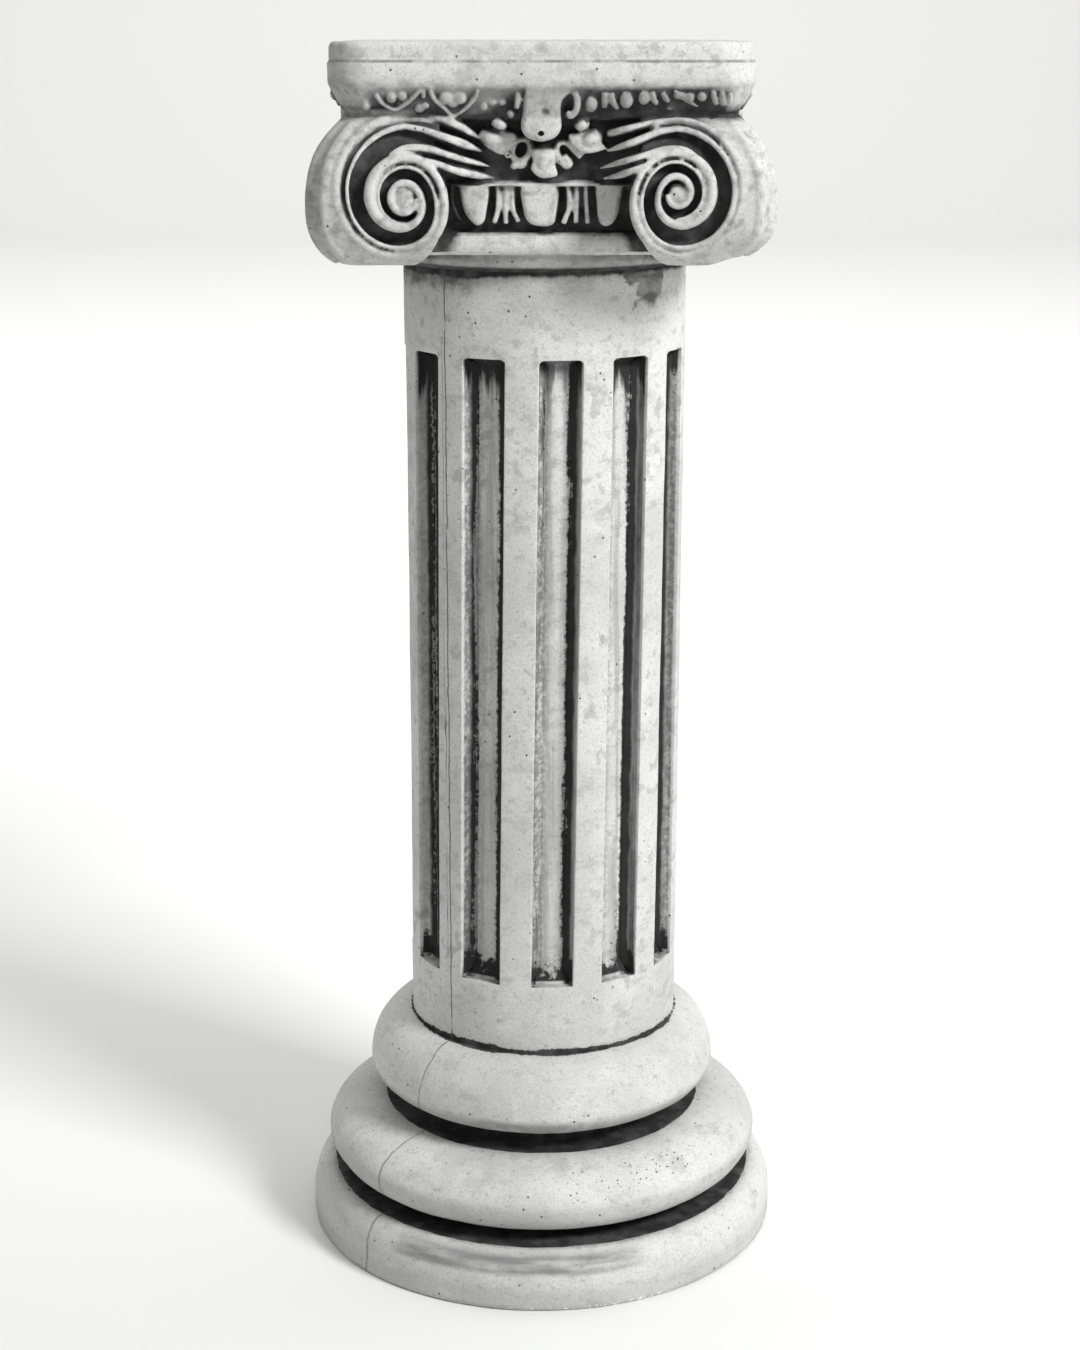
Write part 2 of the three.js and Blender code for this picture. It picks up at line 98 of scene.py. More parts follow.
# Capital
COLLAR_TOP = SHAFT_TOP + 11.0
BEAD_TOP = COLLAR_TOP + 13.5
EGG_TOP = BEAD_TOP + 28.0
MOULDING_FOOT = HEIGHT - 43.0
ABACUS_FOOT = HEIGHT - 25.0
ABACUS_STEP = HEIGHT - 11.0
COLLAR_RADIUS = 101.0
BEAD_HALF = 107.5
EGG_BAND_HALF = 99.0
GROUND_HALF = 103.5
NECK_HALF = 116.5
ABACUS_HALF = 126.4
ABACUS_CORNER = 20.0
SWELL_HALF = 138.6
SWELL_CORNER = 16.0
SWELL_LEVEL = SHAFT_TOP + 41.0
SWELL_FOOT = SHAFT_TOP + 6.5
SCROLL_DEPTH = 9.0
CREST_PROUD = 0.8
# How far the lower edge of the right corner masses is worn upwards, and where that begins and ends
WORN_CORNER = 4.2
WORN_ACROSS = (98.0, 116.0)
WORN_HEIGHT = 24.0
# Share of the dark wash beside the scrolls on the round moulding, and from left to right of the carved one
BEAD_WASH = 0.7
MOULDING_WASH = (0.5, 0.85)

# Scrolls, left and right of the middle. The eye is given by its place and radius. A crest is given by
# its free end, as points across, up and radius, and then by its reach from the eye and its radius at
# each quarter turn, which starts over the eye and goes outwards.
SCROLLS = {
    -1: {
        "eye": (79.7, 711.3, 5.8),
        "outer_tip": ((36.5, 744.6, 1.0), (48.1, 751.4, 3.2), (59.8, 756.2, 3.4), (70.6, 758.0, 3.2)),
        "outer": ((47.0, 3.0), (40.2, 3.6), (32.1, 2.9), (22.9, 2.2), (23.2, 3.2), (20.4, 3.7),
                  (16.2, 2.7), (9.6, 2.3), (9.2, 2.3), (8.4, 2.4), (7.8, 2.2), (6.6, 1.6)),
        "inner_tip": ((35.0, 737.4, 1.0), (48.1, 742.4, 2.9), (59.9, 746.6, 2.8), (70.6, 750.4, 2.3)),
        "inner": ((40.4, 2.0), (33.6, 1.2), (28.2, 1.5), (18.0, 1.3), (18.2, 1.2), (15.3, 1.0), (13.8, 0.8)),
    },
    1: {
        "eye": (79.1, 714.2, 5.2),
        "outer_tip": ((39.5, 747.4, 2.2), (52.2, 750.6, 2.6), (64.0, 753.6, 2.3), (72.0, 755.2, 2.1)),
        "outer": ((41.8, 2.1), (38.0, 2.2), (35.2, 2.7), (25.0, 2.1), (22.9, 2.8), (20.3, 3.6),
                  (17.4, 2.9), (10.8, 2.1), (9.9, 2.3), (7.8, 2.4), (7.2, 1.8), (6.0, 1.4)),
        "inner_tip": ((39.0, 737.8, 1.0), (52.3, 742.2, 2.6), (64.0, 747.0, 2.5), (72.0, 749.6, 2.2)),
        "inner": ((36.2, 2.1), (33.5, 1.5), (31.2, 1.5), (20.2, 1.3), (18.1, 1.2), (15.1, 1.0), (14.0, 0.8)),
    },
}
# Leaf ridges under the scroll rims: across, up and radius
LEAVES = {
    -1: (((88.7, 736.6, 0.7), (82.0, 739.2, 2.0), (74.5, 739.6, 2.5), (65.7, 738.8, 2.5), (56.9, 736.5, 2.2),
          (48.1, 733.6, 2.0), (39.2, 730.8, 1.6), (30.5, 728.2, 0.5)),
         ((73.0, 734.4, 0.8), (62.2, 731.6, 1.9), (54.0, 728.6, 2.3), (46.0, 726.0, 2.3), (37.0, 723.4, 2.0),
          (27.5, 721.4, 0.5))),
    1: (((89.5, 736.8, 0.7), (84.0, 738.4, 1.9), (75.7, 738.8, 2.3), (66.9, 737.4, 2.3), (58.1, 734.9, 2.1),
         (46.3, 731.2, 1.9), (34.5, 727.4, 0.5)),
        ((68.0, 733.6, 0.8), (59.9, 730.0, 1.8), (53.4, 727.3, 2.1), (46.4, 724.6, 2.0), (36.5, 721.6, 0.5))),
}

VOXEL = 0.75
SMOOTHINGS = 2
MOST_TRIANGLES = 190000
# Unevenness of the cast surface on each piece: its size and depth
BASE_UNEVEN = (30.0, 1.2)
SHAFT_UNEVEN = (40.0, 0.7)
CAPITAL_UNEVEN = (16.0, 0.9)
RAYS = 22
RAY_START = 0.4
RECESS_REACH = 26.0
CREASE_REACH = 9.0

# Photograph's camera: 1080 x 1350 frame, fitted to the base, the shaft and the flutes
FRAME_WIDTH, FRAME_HEIGHT = 1080, 1350
FOCAL_PIXELS = 2375.0
CAMERA_BACK = 1.5461
CAMERA_UP = 0.8074
CAMERA_PITCH = 15.23
CENTRE_COLUMN = 541.5

# Studio, metres: lights by place, target, size and power
AIM = (0.0, 0.0, 0.45)
LIGHTS = {
    "key": ((1.85, -1.6, 2.25), AIM, 0.8, 92.0),
    "fill": ((-1.6, -1.8, 1.1), AIM, 1.6, 1.5),
    "backdrop_light": ((0.0, 3.5, 6.0), (0.0, 10.0, 0.5), 9.0, 560.0),
}
WORLD_STRENGTH = 0.43
FLOOR_SIZE = 16.0
FLOOR_MIDDLE = (0.0, 3.0, 0.0)
BACKDROP_RISE = (0.0, 0.5, 9.0)
BACKDROP_BEND = 3.0


# Small helpers for edit-mode modelling

def only(piece):
    bpy.ops.object.select_all(action="DESELECT")
    piece.select_set(True)
    bpy.context.view_layer.objects.active = piece


def added(name):
    piece = bpy.context.active_object
    piece.name = name
    return piece


def edit(piece, mode="VERT"):
    only(piece)
    bpy.ops.object.mode_set(mode="EDIT")
    bpy.ops.mesh.select_mode(type=mode)
    bpy.ops.mesh.select_all(action="SELECT")


def leave():
    bpy.ops.object.mode_set(mode="OBJECT")


def apply(piece, kind, **settings):
    only(piece)
    modifier = piece.modifiers.new(kind, kind)
    for key, value in settings.items():
        setattr(modifier, key, value)
    bpy.ops.object.modifier_apply(modifier=modifier.name)


def settle(piece):
    """Puts the piece's place into its mesh and its object at the origin."""
    only(piece)
    bpy.ops.object.transform_apply(location=True, rotation=True, scale=True)


def boolean(piece, tool, operation):
    apply(piece, "BOOLEAN", object=tool, operation=operation, solver="MANIFOLD")
    bpy.data.objects.remove(tool)


def joined(pieces, name):
    bpy.ops.object.select_all(action="DESELECT")
    for piece in pieces:
        piece.select_set(True)
    bpy.context.view_layer.objects.active = pieces[0]
    bpy.ops.object.join()
    return added(name)


def copy_of(piece, matrix):
    twin = piece.copy()
    twin.data = piece.data.copy()
    bpy.context.collection.objects.link(twin)
    twin.data.transform(matrix)
    if matrix.determinant() < 0:
        twin.data.flip_normals()
    return twin


def outward(piece):
    edit(piece)
    bpy.ops.mesh.remove_doubles(threshold=0.02 * MM)
    bpy.ops.mesh.normals_make_consistent(inside=False)
    leave()


def from_points(name, points, edges=(), faces=()):
    mesh = bpy.data.meshes.new(name)
    mesh.from_pydata([Vector(point) * MM for point in points], edges, faces)
    piece = bpy.data.objects.new(name, mesh)
    bpy.context.collection.objects.link(piece)
    return piece


def smoothstep(value, low, high):
    share = min(max((value - low) / (high - low), 0.0), 1.0)
    return share * share * (3.0 - 2.0 * share)


def mix(low, high, share):
    return low + (high - low) * share


def quarter(start, end, leaves_upright, steps=12):
    """Points of a quarter ellipse from start to end, the start left out."""
    points = []
    for step in range(1, steps + 1):
        angle = step / steps * math.pi / 2
        slow, fast = 1.0 - math.cos(angle), math.sin(angle)
        across, up = (slow, fast) if leaves_upright else (fast, slow)
        points.append((mix(start[0], end[0], across), mix(start[1], end[1], up)))
    return points


def turned(name, outline, steps):
    """Spins an outline of radius and level, from the axis and back to it, round the axis."""
    points = [(radius, 0.0, level) for radius, level in outline]
    edges = [(index, index + 1) for index in range(len(points) - 1)]
    piece = from_points(name, points, edges)
    edit(piece)
    bpy.ops.mesh.spin(steps=steps, angle=2 * math.pi, center=(0, 0, 0), axis=(0, 0, 1))
    leave()
    outward(piece)
    return piece


def stacked(name, levels, corner):
    """A body with a rounded square plan, extruded upwards through levels of half width and height."""
    half, height = levels[0]
    bpy.ops.object.select_all(action="DESELECT")
    bpy.ops.mesh.primitive_plane_add(size=2 * half * MM, location=(0, 0, height * MM))
    piece = added(name)
    settle(piece)
    edit(piece)
    bpy.ops.mesh.bevel(affect="VERTICES", offset=corner * MM, segments=8)
    for next_half, next_height in levels[1:]:
        rise = (0, 0, (next_height - height) * MM)
        bpy.ops.mesh.extrude_region_move(TRANSFORM_OT_translate={"value": rise})
        share = next_half / half
        bpy.ops.transform.resize(value=(share, share, 1), center_override=(0, 0, 0))
        half, height = next_half, next_height
    leave()
    outward(piece)
    return piece


def prism(name, outline, near, far):
    """A solid drawn on the front face, across and up, between two distances from the axis."""
    points = [(across, -near, level) for across, level in outline]
    piece = from_points(name, points, faces=[tuple(range(len(points)))])
    edit(piece)
    run = (0, (near - far) * MM, 0)
    bpy.ops.mesh.extrude_region_move(TRANSFORM_OT_translate={"value": run})
    leave()
    outward(piece)
    return piece


def bead(name, points, sides=5):
    """A round ridge through points of across, distance from the axis, level and radius."""
    curve = bpy.data.curves.new(name, "CURVE")
    curve.dimensions = "3D"
    curve.bevel_depth = MM
    curve.bevel_resolution = sides
    curve.use_fill_caps = True
    spline = curve.splines.new("POLY")
    spline.points.add(len(points) - 1)
    for place, (across, out, level, radius) in zip(spline.points, points):
        place.co = (across * MM, -out * MM, level * MM, 1.0)
        place.radius = radius
    piece = bpy.data.objects.new(name, curve)
    bpy.context.collection.objects.link(piece)
    only(piece)
    bpy.ops.object.convert(target="MESH")
    return added(name)


def smooth_run(given, steps):
    """Points of a smooth run, by uniform Catmull-Rom stretches, from the second point to the last but one."""
    run = []
    for index in range(1, len(given) - 2):
        run += [stretch(given[index - 1:index + 3], step / steps) for step in range(steps)]
    return run


def stretch(given, t):
    """A value between the middle two of four given ones, which bends as they do."""
    before, start, end, after = given
    return 0.5 * (2 * start + (end - before) * t
                  + (2 * before - 5 * start + 4 * end - after) * t * t
                  + (3 * start - before - 3 * end + after) * t * t * t)


def bent(points, steps):
    """A smooth run of points through a few given ones."""
    given = [Vector(point) for point in points]
    beyond = 2 * given[-1] - given[-2]
    return smooth_run([2 * given[0] - given[1], *given, beyond], steps) + [given[-1]]


def rounded(points, steps=4):
    """A closed outline through a few corners, rounded between them."""
    ring = [Vector(point) for point in points]
    return [tuple(point) for point in smooth_run([ring[-1], *ring, ring[0], ring[1]], steps)]


def pillow(name, centre, size, turn=0.0):
    """A rounded block on the front face, its size across, deep and tall."""
    bpy.ops.object.select_all(action="DESELECT")
    bpy.ops.mesh.primitive_cube_add(size=1.3 * MM)
    piece = added(name)
    apply(piece, "SUBSURF", levels=3, render_levels=3)
    across, out, level = centre
    place = Matrix.Translation(Vector((across, -out, level)) * MM)
    shape = Matrix.Diagonal((*size, 1.0))
    piece.data.transform(place @ Matrix.Rotation(math.radians(turn), 4, "Y") @ shape)
    return piece


def ball(name, centre, size):
    bpy.ops.object.select_all(action="DESELECT")
    bpy.ops.mesh.primitive_ico_sphere_add(subdivisions=3, radius=MM)
    piece = added(name)
    across, out, level = centre
    place = Matrix.Translation(Vector((across, -out, level)) * MM)
    piece.data.transform(place @ Matrix.Diagonal((*size, 1.0)))
    return piece


# Base and shaft

def make_base():
    disc_edge = (DISC_RADIUS, DISC_SIDE)
    shaft_foot = (SHAFT_RADIUS, BASE_HEIGHT)
    lower_groove = LOWER_RING_FOOT[0] - GROOVE_DEPTH
    upper_groove = UPPER_RING_FOOT[0] - GROOVE_DEPTH
    outline = [
        (0.0, 0.0),
        (DISC_RADIUS - FOOT_FILLET - 12, 0.0),
        (DISC_RADIUS - FOOT_FILLET, 0.0),
        (DISC_RADIUS, FOOT_FILLET),
        *[(DISC_RADIUS, DISC_SIDE * share) for share in (0.25, 0.5, 0.75)],
        disc_edge,
        *quarter(disc_edge, DISC_TOP, True),
        (mix(DISC_TOP[0], lower_groove, 0.3), DISC_TOP[1] + 0.3),
        (mix(DISC_TOP[0], lower_groove, 0.65), DISC_TOP[1] + 0.2),
        (lower_groove, DISC_TOP[1]),
        (lower_groove, LOWER_RING_FOOT[1]),
        LOWER_RING_FOOT,
        *quarter(LOWER_RING_FOOT, LOWER_RING_SIDE, False),
        *quarter(LOWER_RING_SIDE, LOWER_RING_TOP, True, 16),
        (mix(LOWER_RING_TOP[0], upper_groove, 0.4), LOWER_RING_TOP[1]),
        (upper_groove, LOWER_RING_TOP[1]),
        (upper_groove, UPPER_RING_FOOT[1]),
        UPPER_RING_FOOT,
        *quarter(UPPER_RING_FOOT, UPPER_RING_SIDE, False),
        *quarter(UPPER_RING_SIDE, shaft_foot, True, 18),
        (SHAFT_RADIUS - 3.0, BASE_HEIGHT - 1.0),
        (0.0, BASE_HEIGHT - 1.0),
    ]
    return turned("base", outline, BASE_STEPS)


def flute_angle(point):
    """Degrees from the middle of the nearest flute, before the casting's faults."""
    angle = math.degrees(math.atan2(point[0], -point[1])) - FLUTE_TURN
    return (angle + FLUTE_PITCH / 2) % FLUTE_PITCH - FLUTE_PITCH / 2


def misplace(shaft, foot, top):
    """Gives the shaft its casting faults, and keeps each point's first angle for the material."""
    in_flute = [flute_angle(vertex.co) for vertex in shaft.data.vertices]
    for vertex, within in zip(shaft.data.vertices, in_flute):
        level = vertex.co.z / MM
        angle = math.degrees(math.atan2(vertex.co.x, -vertex.co.y)) - FLUTE_TURN
        in_rib = smoothstep(abs(within), FLUTE_HALF_ANGLE + 0.5, FLUTE_PITCH / 2)
        widened = FLUTE_WIDER * (1.0 - in_rib) * min(max(within / FLUTE_HALF_ANGLE, -1.0), 1.0)
        shifted = SEAM_SHIFT * (1.0 - smoothstep(abs(angle - SEAM_SHIFT_MIDDLE), *SEAM_SHIFT_REACH))
        wind = FLUTE_WIND * (min(max(level, FLUTE_FOOT), FLUTE_HEAD) - FLUTE_WIND_LEVEL)
        placed = math.radians(angle + FLUTE_TURN + widened - shifted + wind)
        radius = vertex.co.xy.length
        off = mix(SHAFT_OFF_FOOT, SHAFT_OFF_HEAD, (level - foot) / (top - foot)) * MM
        vertex.co.x = radius * math.sin(placed) + off
        vertex.co.y = -radius * math.cos(placed)
    layer = shaft.data.attributes.new("flute_angle", "FLOAT", "POINT")
    layer.data.foreach_set("value", in_flute)


def make_shaft():
    foot = BASE_HEIGHT - 3.0
    top = COLLAR_TOP
    bpy.ops.object.select_all(action="DESELECT")
    bpy.ops.mesh.primitive_circle_add(
        vertices=SHAFT_STEPS, radius=SHAFT_RADIUS * MM, fill_type="NGON", location=(0, 0, foot * MM))
    shaft = added("shaft")
    settle(shaft)
    shaft.data.transform(Matrix.Rotation(math.radians(FLUTE_TURN), 4, "Z"))
    edit(shaft)
    level = foot
    for height in (FLUTE_FOOT, FLUTE_HEAD, top):
        rise = (0, 0, (height - level) * MM)
        bpy.ops.mesh.extrude_region_move(TRANSFORM_OT_translate={"value": rise})
        level = height
    bpy.ops.mesh.normals_make_consistent(inside=False)
    leave()
    edit(shaft, "FACE")
    bpy.ops.mesh.select_all(action="DESELECT")
    leave()
    for face in shaft.data.polygons:
        fluted = FLUTE_FOOT < face.center.z / MM < FLUTE_HEAD
        face.select = fluted and abs(flute_angle(face.center)) < FLUTE_HALF_ANGLE
    bpy.ops.object.mode_set(mode="EDIT")
    bpy.ops.mesh.extrude_region_move()
    sunk = 1.0 - FLUTE_WALL / SHAFT_RADIUS
    bpy.ops.transform.resize(value=(sunk, sunk, 1), center_override=(0, 0, 0))
    bpy.ops.mesh.inset(thickness=FLUTE_FLOOR_INSET * MM, depth=-FLUTE_FLOOR_DROP * MM)
    leave()
    floor = (SHAFT_RADIUS - FLUTE_WALL - FLUTE_FLOOR_DROP / 2) * MM
    middle = (FLUTE_FOOT + FLUTE_HEAD) / 2 * MM
    for vertex in shaft.data.vertices:
        if vertex.co.xy.length < floor and foot * MM < vertex.co.z < middle:
            vertex.co.z += FLUTE_SILL * MM
    for vertex in shaft.data.vertices:
        if abs(vertex.co.z / MM - FLUTE_HEAD) < 0.5 and vertex.co.xy.length > floor:
            in_corner = smoothstep(abs(flute_angle(vertex.co)), *FLUTE_HEAD_CORNER)
            vertex.co.z -= FLUTE_HEAD_ROUND * MM * in_corner ** 2
    apply(shaft, "BEVEL", width=FLUTE_EDGE * MM, segments=3, limit_method="ANGLE",
          angle_limit=math.radians(24), use_clamp_overlap=True)
    edit(shaft)
    rings = [mix(FLUTE_FOOT, FLUTE_HEAD, ring / SHAFT_RINGS) for ring in range(1, SHAFT_RINGS)]
    for height in (*rings, *SHAFT_CUTS):
        bpy.ops.mesh.select_all(action="SELECT")
        bpy.ops.mesh.bisect(plane_co=(0, 0, height * MM), plane_no=(0, 0, 1))
    leave()
    misplace(shaft, foot, top)
    return shaft


# Capital: the plain masses

def swell_half(level):
    """Half width of the swelling corner masses at a level."""
    if level > SWELL_LEVEL:
        share = (level - SWELL_LEVEL) / (MOULDING_FOOT - SWELL_LEVEL)
        return SWELL_HALF - 22.0 * share ** 2.6
    share = max(SWELL_LEVEL - level, 0.0) / (SWELL_LEVEL - SWELL_FOOT)
    return SWELL_HALF - 18.0 * share ** 3


def moulding_half(level):
    """Half width of the carved moulding under the abacus at a level."""
    share = (level - MOULDING_FOOT) / (ABACUS_FOOT - MOULDING_FOOT)
    return mix(NECK_HALF, ABACUS_HALF, share)


def carving_crest(across, level):
    """Distance of the foremost carving from the axis, for a place on one face of the capital."""
    if level < EGG_TOP:
        eggs = EGG_BAND_HALF + 9.5
        return mix(eggs, swell_half(level), smoothstep(abs(across), 50.0, 62.0))
    if level < MOULDING_FOOT:
        return ridge_out(across, level)
    return moulding_half(level) + 1.8


def washed(place):
    """How much of the dark wash was left at a place on the capital, behind its carving."""
    across, out = sorted((abs(place.x) / MM, abs(place.y) / MM))
    level = place.z / MM
    if COLLAR_TOP + 2.0 < level < BEAD_TOP and out < BEAD_HALF + 1.5:
        return BEAD_WASH * smoothstep(across, 44.0, 58.0)
    if not BEAD_TOP < level < ABACUS_FOOT or across > SWELL_HALF - SWELL_CORNER - 4.0:
        return 0.0
    behind = carving_crest(across, level) - out
    if level > MOULDING_FOOT:
        front = abs(place.x) < abs(place.y)
        rightwards = -place.x * np.sign(place.y) if front else place.y * np.sign(place.x)
        kept = mix(*MOULDING_WASH, smoothstep(rightwards / MM, -45.0, 25.0))
        fade = 1.0 - smoothstep(across, 96.0, 112.0)
        foot = 1.0 - smoothstep(level, ABACUS_FOOT - 2.5, ABACUS_FOOT + 1.0)
        return kept * fade * foot * smoothstep(behind, 0.2, 1.5)
    if level > MOULDING_FOOT - 2.5 and abs(out - NECK_HALF) < 2.0 and across < 52.0:
        return 1.0
    beside = 1.0 - smoothstep(across, swell_half(level) - 26.0, swell_half(level) - 18.0)
    return beside * smoothstep(behind, 2.2, 4.0)


def make_core():
    ground_middle = (EGG_TOP + MOULDING_FOOT) / 2
    levels = [
        (BEAD_HALF - 4.5, COLLAR_TOP), (BEAD_HALF - 1.4, COLLAR_TOP + 1.8),
        (BEAD_HALF, COLLAR_TOP + 5.0), (BEAD_HALF, COLLAR_TOP + 8.5),
        (BEAD_HALF - 1.6, COLLAR_TOP + 11.5), (BEAD_HALF - 4.5, BEAD_TOP),
        (EGG_BAND_HALF, BEAD_TOP + 0.4), (EGG_BAND_HALF, EGG_TOP),
        (GROUND_HALF + 5.5, EGG_TOP + 0.2), (GROUND_HALF + 5.2, EGG_TOP + 1.4),
        (GROUND_HALF + 1.8, EGG_TOP + 2.6), (GROUND_HALF, EGG_TOP + 8.0), (GROUND_HALF, ground_middle),
        (GROUND_HALF + 3.0, MOULDING_FOOT - 3.0), (NECK_HALF - 1.0, MOULDING_FOOT - 0.5),
        (NECK_HALF + 0.8, MOULDING_FOOT + 2.5), (moulding_half(MOULDING_FOOT + 8), MOULDING_FOOT + 8),
        (ABACUS_HALF - 1.4, ABACUS_FOOT - 2.0), (ABACUS_HALF, ABACUS_FOOT + 1.5),
        (ABACUS_HALF, ABACUS_STEP - 0.8), (ABACUS_HALF - 1.7, ABACUS_STEP),
        (ABACUS_HALF - 1.0, ABACUS_STEP + 1.0), (ABACUS_HALF - 1.1, HEIGHT - 3.0),
        (ABACUS_HALF - 2.0, HEIGHT - 0.9), (ABACUS_HALF - 3.6, HEIGHT),
    ]
    return stacked("core", levels, ABACUS_CORNER)


def make_swell(inset):
    count = 22
    heights = [mix(SWELL_FOOT, MOULDING_FOOT, step / count) for step in range(count + 1)]
    levels = [(swell_half(height) - inset, height) for height in heights]
    return stacked("swell", levels, SWELL_CORNER - inset / 2)


def loop_outline(side, reaches, inset, steps=40):
    """A closed outline round a scroll's eye, through its reaches over, outside, under and inside it."""
    eye_across, eye_level, _ = SCROLLS[side]["eye"]
    outline = []
    for step in range(steps):
        turn = step / steps * 4
        start, end = reaches[int(turn)], reaches[(int(turn) + 1) % 4]
        reach = mix(start, end, smoothstep(turn % 1, 0.0, 1.0)) - inset
        angle = turn * math.pi / 2
        outline.append((side * (eye_across + reach * math.sin(angle)), eye_level + reach * math.cos(angle)))
    return outline


def mass_outline(side):
    """The outline of a corner mass: round the scroll on its inner side, open past the corner."""
    eye_across, eye_level, _ = SCROLLS[side]["eye"]
    far = SWELL_HALF + SCROLL_DEPTH
    inner = SCROLLS[side]["outer"][3][0] + 0.5
    foot = eye_level - SWELL_FOOT + 0.5
    top = MOULDING_FOOT - eye_level + 0.5
    outline = [(side * far, eye_level - foot)]
    for step in range(25):
        angle = step / 24 * math.pi
        reach = foot if angle < math.pi / 2 else top
        across = eye_across - inner * math.sin(angle)
        outline.append((side * across, eye_level - reach * math.cos(angle)))
    outline.append((side * far, eye_level + top))
    return outline


def floor_outline(side):
    """The sunk floor of a scroll, as far as the crest of its rim."""
    reaches = [reach for reach, _ in SCROLLS[side]["outer"][:4]]
    return loop_outline(side, reaches, 0.5)


def both_sides(outline, far):
    near = SWELL_HALF + SCROLL_DEPTH
    return [prism("tool", outline(side), near, far) for side in (-1, 1)]


def turned_copies(pieces, turns):
    copies = []
    for turn in turns:
        matrix = Matrix.Rotation(math.radians(turn), 4, "Z")
        copies += [copy_of(piece, matrix) for piece in pieces]
    return copies


def make_corner_masses():
    masses = make_swell(0.0)
    floors = both_sides(floor_outline, GROUND_HALF)
    for tool in turned_copies(floors, (90, 180, 270)) + floors:
        boolean(masses, tool, "DIFFERENCE")
    boolean(masses, make_swell(SCROLL_DEPTH), "UNION")
    halves = both_sides(mass_outline, 0.0)
    halves = joined(halves + turned_copies(halves, (180,)), "tool")
    across = turned_copies([halves], (90,))[0]
    boolean(masses, halves, "INTERSECT")
    boolean(masses, across, "INTERSECT")
    return masses


# Capital: the carving of one face

def ridge_out(across, level):
    """Distance of a ridge's crest from the axis: near the ground in the middle of the face, and on
    the swelling masses outside."""
    return mix(GROUND_HALF + 5.0, swell_half(level) + CREST_PROUD, smoothstep(abs(across), 29.0, 55.5))


def spiral(side, crest, tip):
    """Points of a crest, across, up and radius: its free end, then its quarter turns into the eye."""
    eye_across, eye_level, _ = SCROLLS[side]["eye"]
    run = list(bent(tip, 5))[:-1]
    last = len(crest) - 1
    for step in range(last * 10 + 1):
        turn = step / 10
        index = min(int(turn), last - 1)
        near = [crest[min(max(index + move, 0), last)] for move in (-1, 0, 1, 2)]
        reach, radius = [stretch(given, turn - index) for given in zip(*near)]
        angle = turn * math.pi / 2
        across, level = eye_across + reach * math.sin(angle), eye_level + reach * math.cos(angle)
        run.append(Vector((across, level, radius)))
    return run


def crest_bead(side, run, sink, wider):
    points = []
    for across, level, radius in run:
        out = ridge_out(across, level) - radius - sink
        points.append((side * across, out, level, radius * (1.0 + wider)))
    return bead("crest", points)


def between(outer, inner):
    """A run in the middle of two crests, wide enough to touch both, from a way behind their free ends."""
    run = []
    for index in range(10, len(inner)):
        far, near = outer[index], inner[index]
        middle = (far + near) / 2
        gap = math.hypot(far.x - near.x, far.y - near.y)
        grown = smoothstep(index, 8, 18)
        run.append(Vector((middle.x, middle.y, grown * (gap / 2 + min(far.z, near.z) * 0.3))))
    return run


def make_scroll(side):
    form = SCROLLS[side]
    outer = spiral(side, form["outer"], form["outer_tip"])
    inner = spiral(side, form["inner"], form["inner_tip"])
    wall = between(outer, inner)
    crests = ((outer, 0.0, 0.0), (inner, 0.8, 0.0), (outer, 2.5, 0.1), (outer, 5.5, 0.1),
              (inner, 3.0, 0.1), (inner, 5.5, 0.1), (wall, 3.2, 0.0), (wall, 5.5, 0.0))
    pieces = [crest_bead(side, *crest) for crest in crests]
    across, level, radius = form["eye"]
    for sunk, wide, deep in ((3.6, radius + 0.5, 4.6), (7.0, radius, 7.0)):
        pieces.append(ball("eye", (side * across, swell_half(level) - sunk, level), (wide, deep, wide)))
    return pieces


def make_leaf_sweep(side):
    """The pair of ridges under the rim, from a point over the second turn to the middle."""
    pieces = []
    for route in LEAVES[side]:
        run = bent(route, 6)
        for sink, wider in ((0.6, 0.0), (2.6, 0.15), (5.2, 0.3)):
            pieces.append(crest_bead(side, run, sink, wider))
    return pieces


def make_corner_ridges():
    """Shallow upright ridges round one corner, following its swelling outline."""
    pieces = []
    for turn in (20.0, 70.0):
        angle = math.radians(turn)
        points = []
        for step in range(25):
            level = mix(SWELL_FOOT + 4.0, MOULDING_FOOT - 5.0, step / 24)
            fade = math.sin(math.pi * step / 24) ** 0.5
            centre = swell_half(level) - SWELL_CORNER
            reach = SWELL_CORNER - 4.4 + 1.3 * fade
            points.append((centre + reach * math.sin(angle), centre + reach * math.cos(angle), level, 4.2))
        pieces.append(bead("corner_ridge", points))
    return pieces


def carved(name, outline, near, far, edge):
    """A low block of a drawn outline with a softened front."""
    piece = prism(name, outline, near, far)
    apply(piece, "BEVEL", width=edge * MM, segments=4, limit_method="ANGLE",
          angle_limit=math.radians(50), use_clamp_overlap=True)
    return piece


def stroke(name, points, out):
    """A thin ridge through points of across, up and radius, at a distance from the axis."""
    return bead(name, [(across, out - radius, level, radius) for across, level, radius in points], 4)


